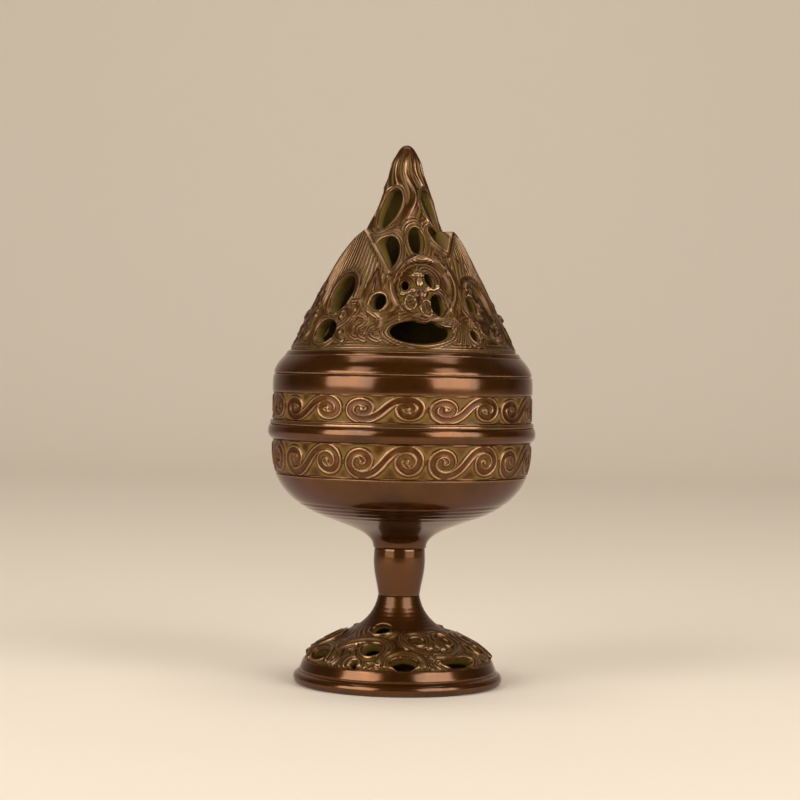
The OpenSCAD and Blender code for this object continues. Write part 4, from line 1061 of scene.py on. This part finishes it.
def hill_relief(azimuth, radius, z, room):
    """Relief of the hill: its steps with what stands on them, and the fine lines."""
    height = z - hill_z
    step = np.maximum(tier_at(height) - radius, 0)
    wide = skin_radius(radius, height)
    lift = step * (1 - smooth(height, 8, 17))
    lines, combed = np.zeros(len(azimuth)), np.zeros(len(azimuth))
    niche_insides = [-oval_room(arc(azimuth, middle, wide), height - place, half_w, half_h)
                     for middle, place, half_w, half_h in niches]
    clear = smooth(room, 1.4, 2.6) * (1 - smooth(np.max(niche_insides, axis=0), -2.8, -1.5))
    high = smooth(height, 11, 17)
    comb = comb_out * (ridges(azimuth + 1.2 * np.sin(height / 7), comb_pitch) - 0.5) * clear
    set_back, *rise = niche_peak[4:]
    inside = peak_inside(azimuth, radius, height, niche_peak)
    lift = np.maximum(lift, np.maximum(step - set_back, 0) * smooth(inside, *rise))
    for peak in peaks:
        tip, (set_back, rise_from, rise_to, border_out) = peak[1], peak[4:]
        inside = peak_inside(azimuth, radius, height, peak)
        own_step = np.maximum(step - set_back, 0)
        lift = np.maximum(lift, own_step * smooth(inside, rise_from, rise_to))
        bank = bank_share * hump(np.minimum(inside, 0), 0, bank_w) * smooth(height, 17, 23)
        bank = bank * (1 - smooth(height, tip - 3, tip + 0.5))
        lift = np.maximum(lift, bank * own_step)
        border = hump(inside, 0.4, 0.45) * high
        on = smooth(inside, 0.8, 1.3) * high
        lines = lines * (1 - np.maximum(on, border)) + on * comb + border_out * border
        combed = np.maximum(combed, np.maximum(on, border))
    for peak in small_peaks:
        middle, tip = peak[:2]
        inside = peak_inside(azimuth, radius, height, peak)
        spread = np.degrees(np.arctan2(arc(azimuth, middle, wide), tip + 1.5 - height))
        on = smooth(inside, -0.3, 0.6) * smooth(height, 8, 11)
        lift = np.maximum(lift, on * (step + small_peak_out))
        rays = 0.5 * (ridges(spread, 10) - 0.5) * smooth(inside, 1.4, 2.4) * clear
        lines = lines * (1 - on) + on * (rays * smooth(tip - height, 2.5, 6))
        combed = np.maximum(combed, on)
    # Contour lines that follow the openings and the seat, and arches over the tall openings
    shore = np.minimum(room, height / 0.85 + 0.6)
    flow = 0.42 * ridges(shore - 0.6, 1.15) * hump(shore, 0, 5.5)
    flow = flow * (1 - combed * smooth(room, 0.9, 1.6))
    flow = flow * (1 - smooth(height, 40, 46) * smooth(room, 1.2, 2.2))
    for middle, place, half_w, half_h, lean in hill_vents:
        if place < upper_vents and half_h > 4:
            x, y = leaned(arc(azimuth, middle, wide), height - place, lean)
            arch = hump(oval_room(x, y, half_w, half_h), 1.7, 0.9) * smooth(y, -2, 2)
            lines = lines * (1 - arch) + 0.5 * arch
            flow = flow * (1 - arch)
    # Lines of the right-hand flank, which meet in one point and fan out again to the seat
    x, up = arc(azimuth, fan_azimuth, wide), height - fan_height
    away = np.hypot(x, up)
    fan = (1 - smooth(away, fan_reach - 3, fan_reach)) * smooth(away, 1.2, 3) * smooth(-up, -0.5, 1.5)
    fan = fan * smooth(room, 0.8, 2)
    flow = flow * (1 - fan) + 0.4 * fan * ridges(np.degrees(np.arctan2(x, -up)), 11)
    width = 1.1 + 0.1 * np.maximum(up, 0)
    bundle = smooth(up, 1, 4) * (1 - smooth(np.abs(x) / width, 2.6, 3.4))
    bundle = bundle * (1 - smooth(height, 27, 34)) * clear
    lines = lines * (1 - bundle) + 0.65 * bundle * (ridges(x / width, 0.62) - 0.5)
    flow = flow * (1 - bundle)
    # Niches, their frames and what stands in them
    for inside, (start, full, depth, frame_at, frame_out, fade) in zip(niche_insides, niche_carving):
        sunk = smooth(inside, start, full)
        lift = lift - depth * sunk
        frame_line = hump(inside, frame_at, 0.8)
        lines = lines * (1 - sunk) * (1 - frame_line) + frame_out * frame_line
        flow = flow * (1 - fade * sunk) * (1 - frame_line)
    whole = smooth(room, 0.2, 0.9)
    figure = figure_relief(arc(azimuth, figure_azimuth, wide), height - figure_height)
    figure = figure * whole * smooth(niche_insides[0], -0.4, 0.6)
    tangle = hair(azimuth, height, beast_turns) * smooth(room, 1.2, 2.2)
    flow = flow * (1 - smooth(tangle, 0, 0.2)) + 0.4 * tangle
    groups = [[beast_lines, beast_knobs, beast_turns, 0.35], [cliff_lines, cliff_knobs, cliff_turns, 0]]
    for group in groups:
        relief, near = beasts(azimuth, height, *group)
        beside = smooth(near, -0.1, 0.7)
        lines, flow = lines * beside, flow * beside
        figure = np.maximum(figure, relief * whole)
    # Drapery of the spire
    fold = off_azimuth(azimuth, 6) + 11 * np.sin(height / 4.6) + 5 * np.sin(height / 2.3 + 1)
    spire = smooth(height, 37, 45) * (1 - smooth(height, hill_h - 7, hill_h - 2))
    folds = 0.7 * ridges(fold, 36) + 0.16 * ridges(fold, 12)
    lines = lines + spire * folds * smooth(room, 0.8, 2.0)
    low_calm = 1 - smooth(height, hill_h - 3, hill_h - 0.6)
    calm = low_calm * smooth(height, 0.1, 0.8)
    return lift * low_calm + 0.5 * figure * calm, (lines + flow + 0.5 * figure) * calm


def hill_sink(azimuth, z):
    """The right-hand tip stands free of the spire: the sheet dips behind it."""
    middle, tip = peaks[1][:2]
    height = z - hill_z
    behind = smooth(height, tip - 0.4, tip + 0.6) * (1 - smooth(height, tip + 0.6, tip + 9))
    return 3.4 * behind * hump(off_azimuth(azimuth, middle + 8), 0, 24)


hill = openwork("lid_hill_openwork", hill_base, hill_counts, hill_room, hill_relief, hill_wall, hill_hollow,
                [], bronze_openwork, upright=True, sink_at=hill_sink)
fit(hill, "lid", "bronze_openwork", "lid_hill")

# Studio
# A pale paper sweep, darkened towards the lamps by painted shade, two tall softboxes with a small panel above
# each, a lamp for the backdrop, and the camera of the photograph.


def paper(name, colour, painted_shade_colour):
    """Matt paper with painted shade: darker in front of the object, towards the lamps."""
    material, tree, shader = new_material(name)
    place = add_node(tree, "ShaderNodeTexCoord").outputs["Object"]
    depth = add_node(tree, "ShaderNodeSeparateXYZ", {0: place}).outputs["Y"]
    # Painted shade: the paper in front of the object turns to the dark colour
    shade = mixed_colour(tree, ramp(tree, depth, -0.8, -0.15), (*painted_shade_colour, 1), (*colour, 1))
    tree.links.new(shade, shader["Base Color"])
    shader["Roughness"].default_value = 0.85
    return material


def sweep():
    """Floor that curves up into a backdrop behind the object, in metres."""
    front, back, bend, top, half = -3.0, 1.3, 0.7, 3.2, 4.0
    line = [[front, 0], [back, 0]]
    bends = np.radians(np.linspace(4, 90, 24))
    line += [[back + bend * math.sin(a), bend - bend * math.cos(a)] for a in bends]
    line += [[back + bend, top]]
    points = [(x, y, z) for y, z in line for x in (-half, half)]
    faces = [(2 * k, 2 * k + 1, 2 * k + 3, 2 * k + 2) for k in range(len(line) - 1)]
    mesh = bpy.data.meshes.new("studio_sweep")
    mesh.from_pydata(points, [], faces)
    mesh.shade_smooth()
    # The second colour is painted shade on the paper in front of the object
    mesh.materials.append(paper("studio_paper", (0.82, 0.75, 0.65), (0.2, 0.165, 0.12)))
    floor = bpy.data.objects.new("studio_sweep", mesh)
    bpy.context.scene.collection.objects.link(floor)
    return floor


lamp_colour = (1.0, 0.94, 0.86)


def softbox(name, place, target, width, height, radiance):
    """Rectangular lamp turned to a target. Its radiance is that of its face."""
    data = bpy.data.lights.new(name, "AREA")
    data.shape = "RECTANGLE"
    data.size, data.size_y = width, height
    data.energy = radiance * math.pi * width * height
    data.color = lamp_colour
    lamp = bpy.data.objects.new(name, data)
    way = np.array(target) - np.array(place)
    lamp.location = place
    lamp.rotation_euler = (math.atan2(math.hypot(way[0], way[1]), -way[2]), 0, math.atan2(-way[0], way[1]))
    bpy.context.scene.collection.objects.link(lamp)


sweep()
softbox_turn, softbox_far, lit_place = 47, 1.15, (0, 0, 0.1)
for side, name in ((-1, "left"), (1, "right")):
    x = side * softbox_far * math.sin(math.radians(softbox_turn))
    y = -softbox_far * math.cos(math.radians(softbox_turn))
    softbox(f"softbox_{name}", (x, y, 0.46), lit_place, width=0.96, height=0.82, radiance=5.0)
    softbox(f"upper_softbox_{name}", (x, y, 1.14), lit_place, width=0.44, height=0.5, radiance=3.4)
softbox("backdrop_lamp", (0, 0.4, 2.6), (0, 1.5, 0.2), width=2.4, height=1.2, radiance=2.9)

world = bpy.data.worlds.new("studio_world")
bpy.context.scene.world = world
world.use_nodes = True
world.node_tree.nodes["Background"].inputs["Color"].default_value = (1.0, 0.78, 0.56, 1)
world.node_tree.nodes["Background"].inputs["Strength"].default_value = 0.08

# The photograph was taken from a little above the rim, with the camera turned slightly
camera_place = (0, -0.733, 0.107)
camera_down, camera_left, camera_roll = 0.99, 0.0625, 1.06
camera_data = bpy.data.cameras.new("camera")
camera_data.sensor_width = 36
camera_data.lens = 99
camera = bpy.data.objects.new("camera", camera_data)
camera.matrix_world = (Matrix.Translation(camera_place) @ Matrix.Rotation(math.radians(camera_left), 4, "Z")
                       @ Matrix.Rotation(math.radians(90 - camera_down), 4, "X")
                       @ Matrix.Rotation(math.radians(camera_roll), 4, "Z"))
bpy.context.scene.collection.objects.link(camera)
bpy.context.scene.camera = camera
bpy.context.scene.view_settings.view_transform = "Standard"
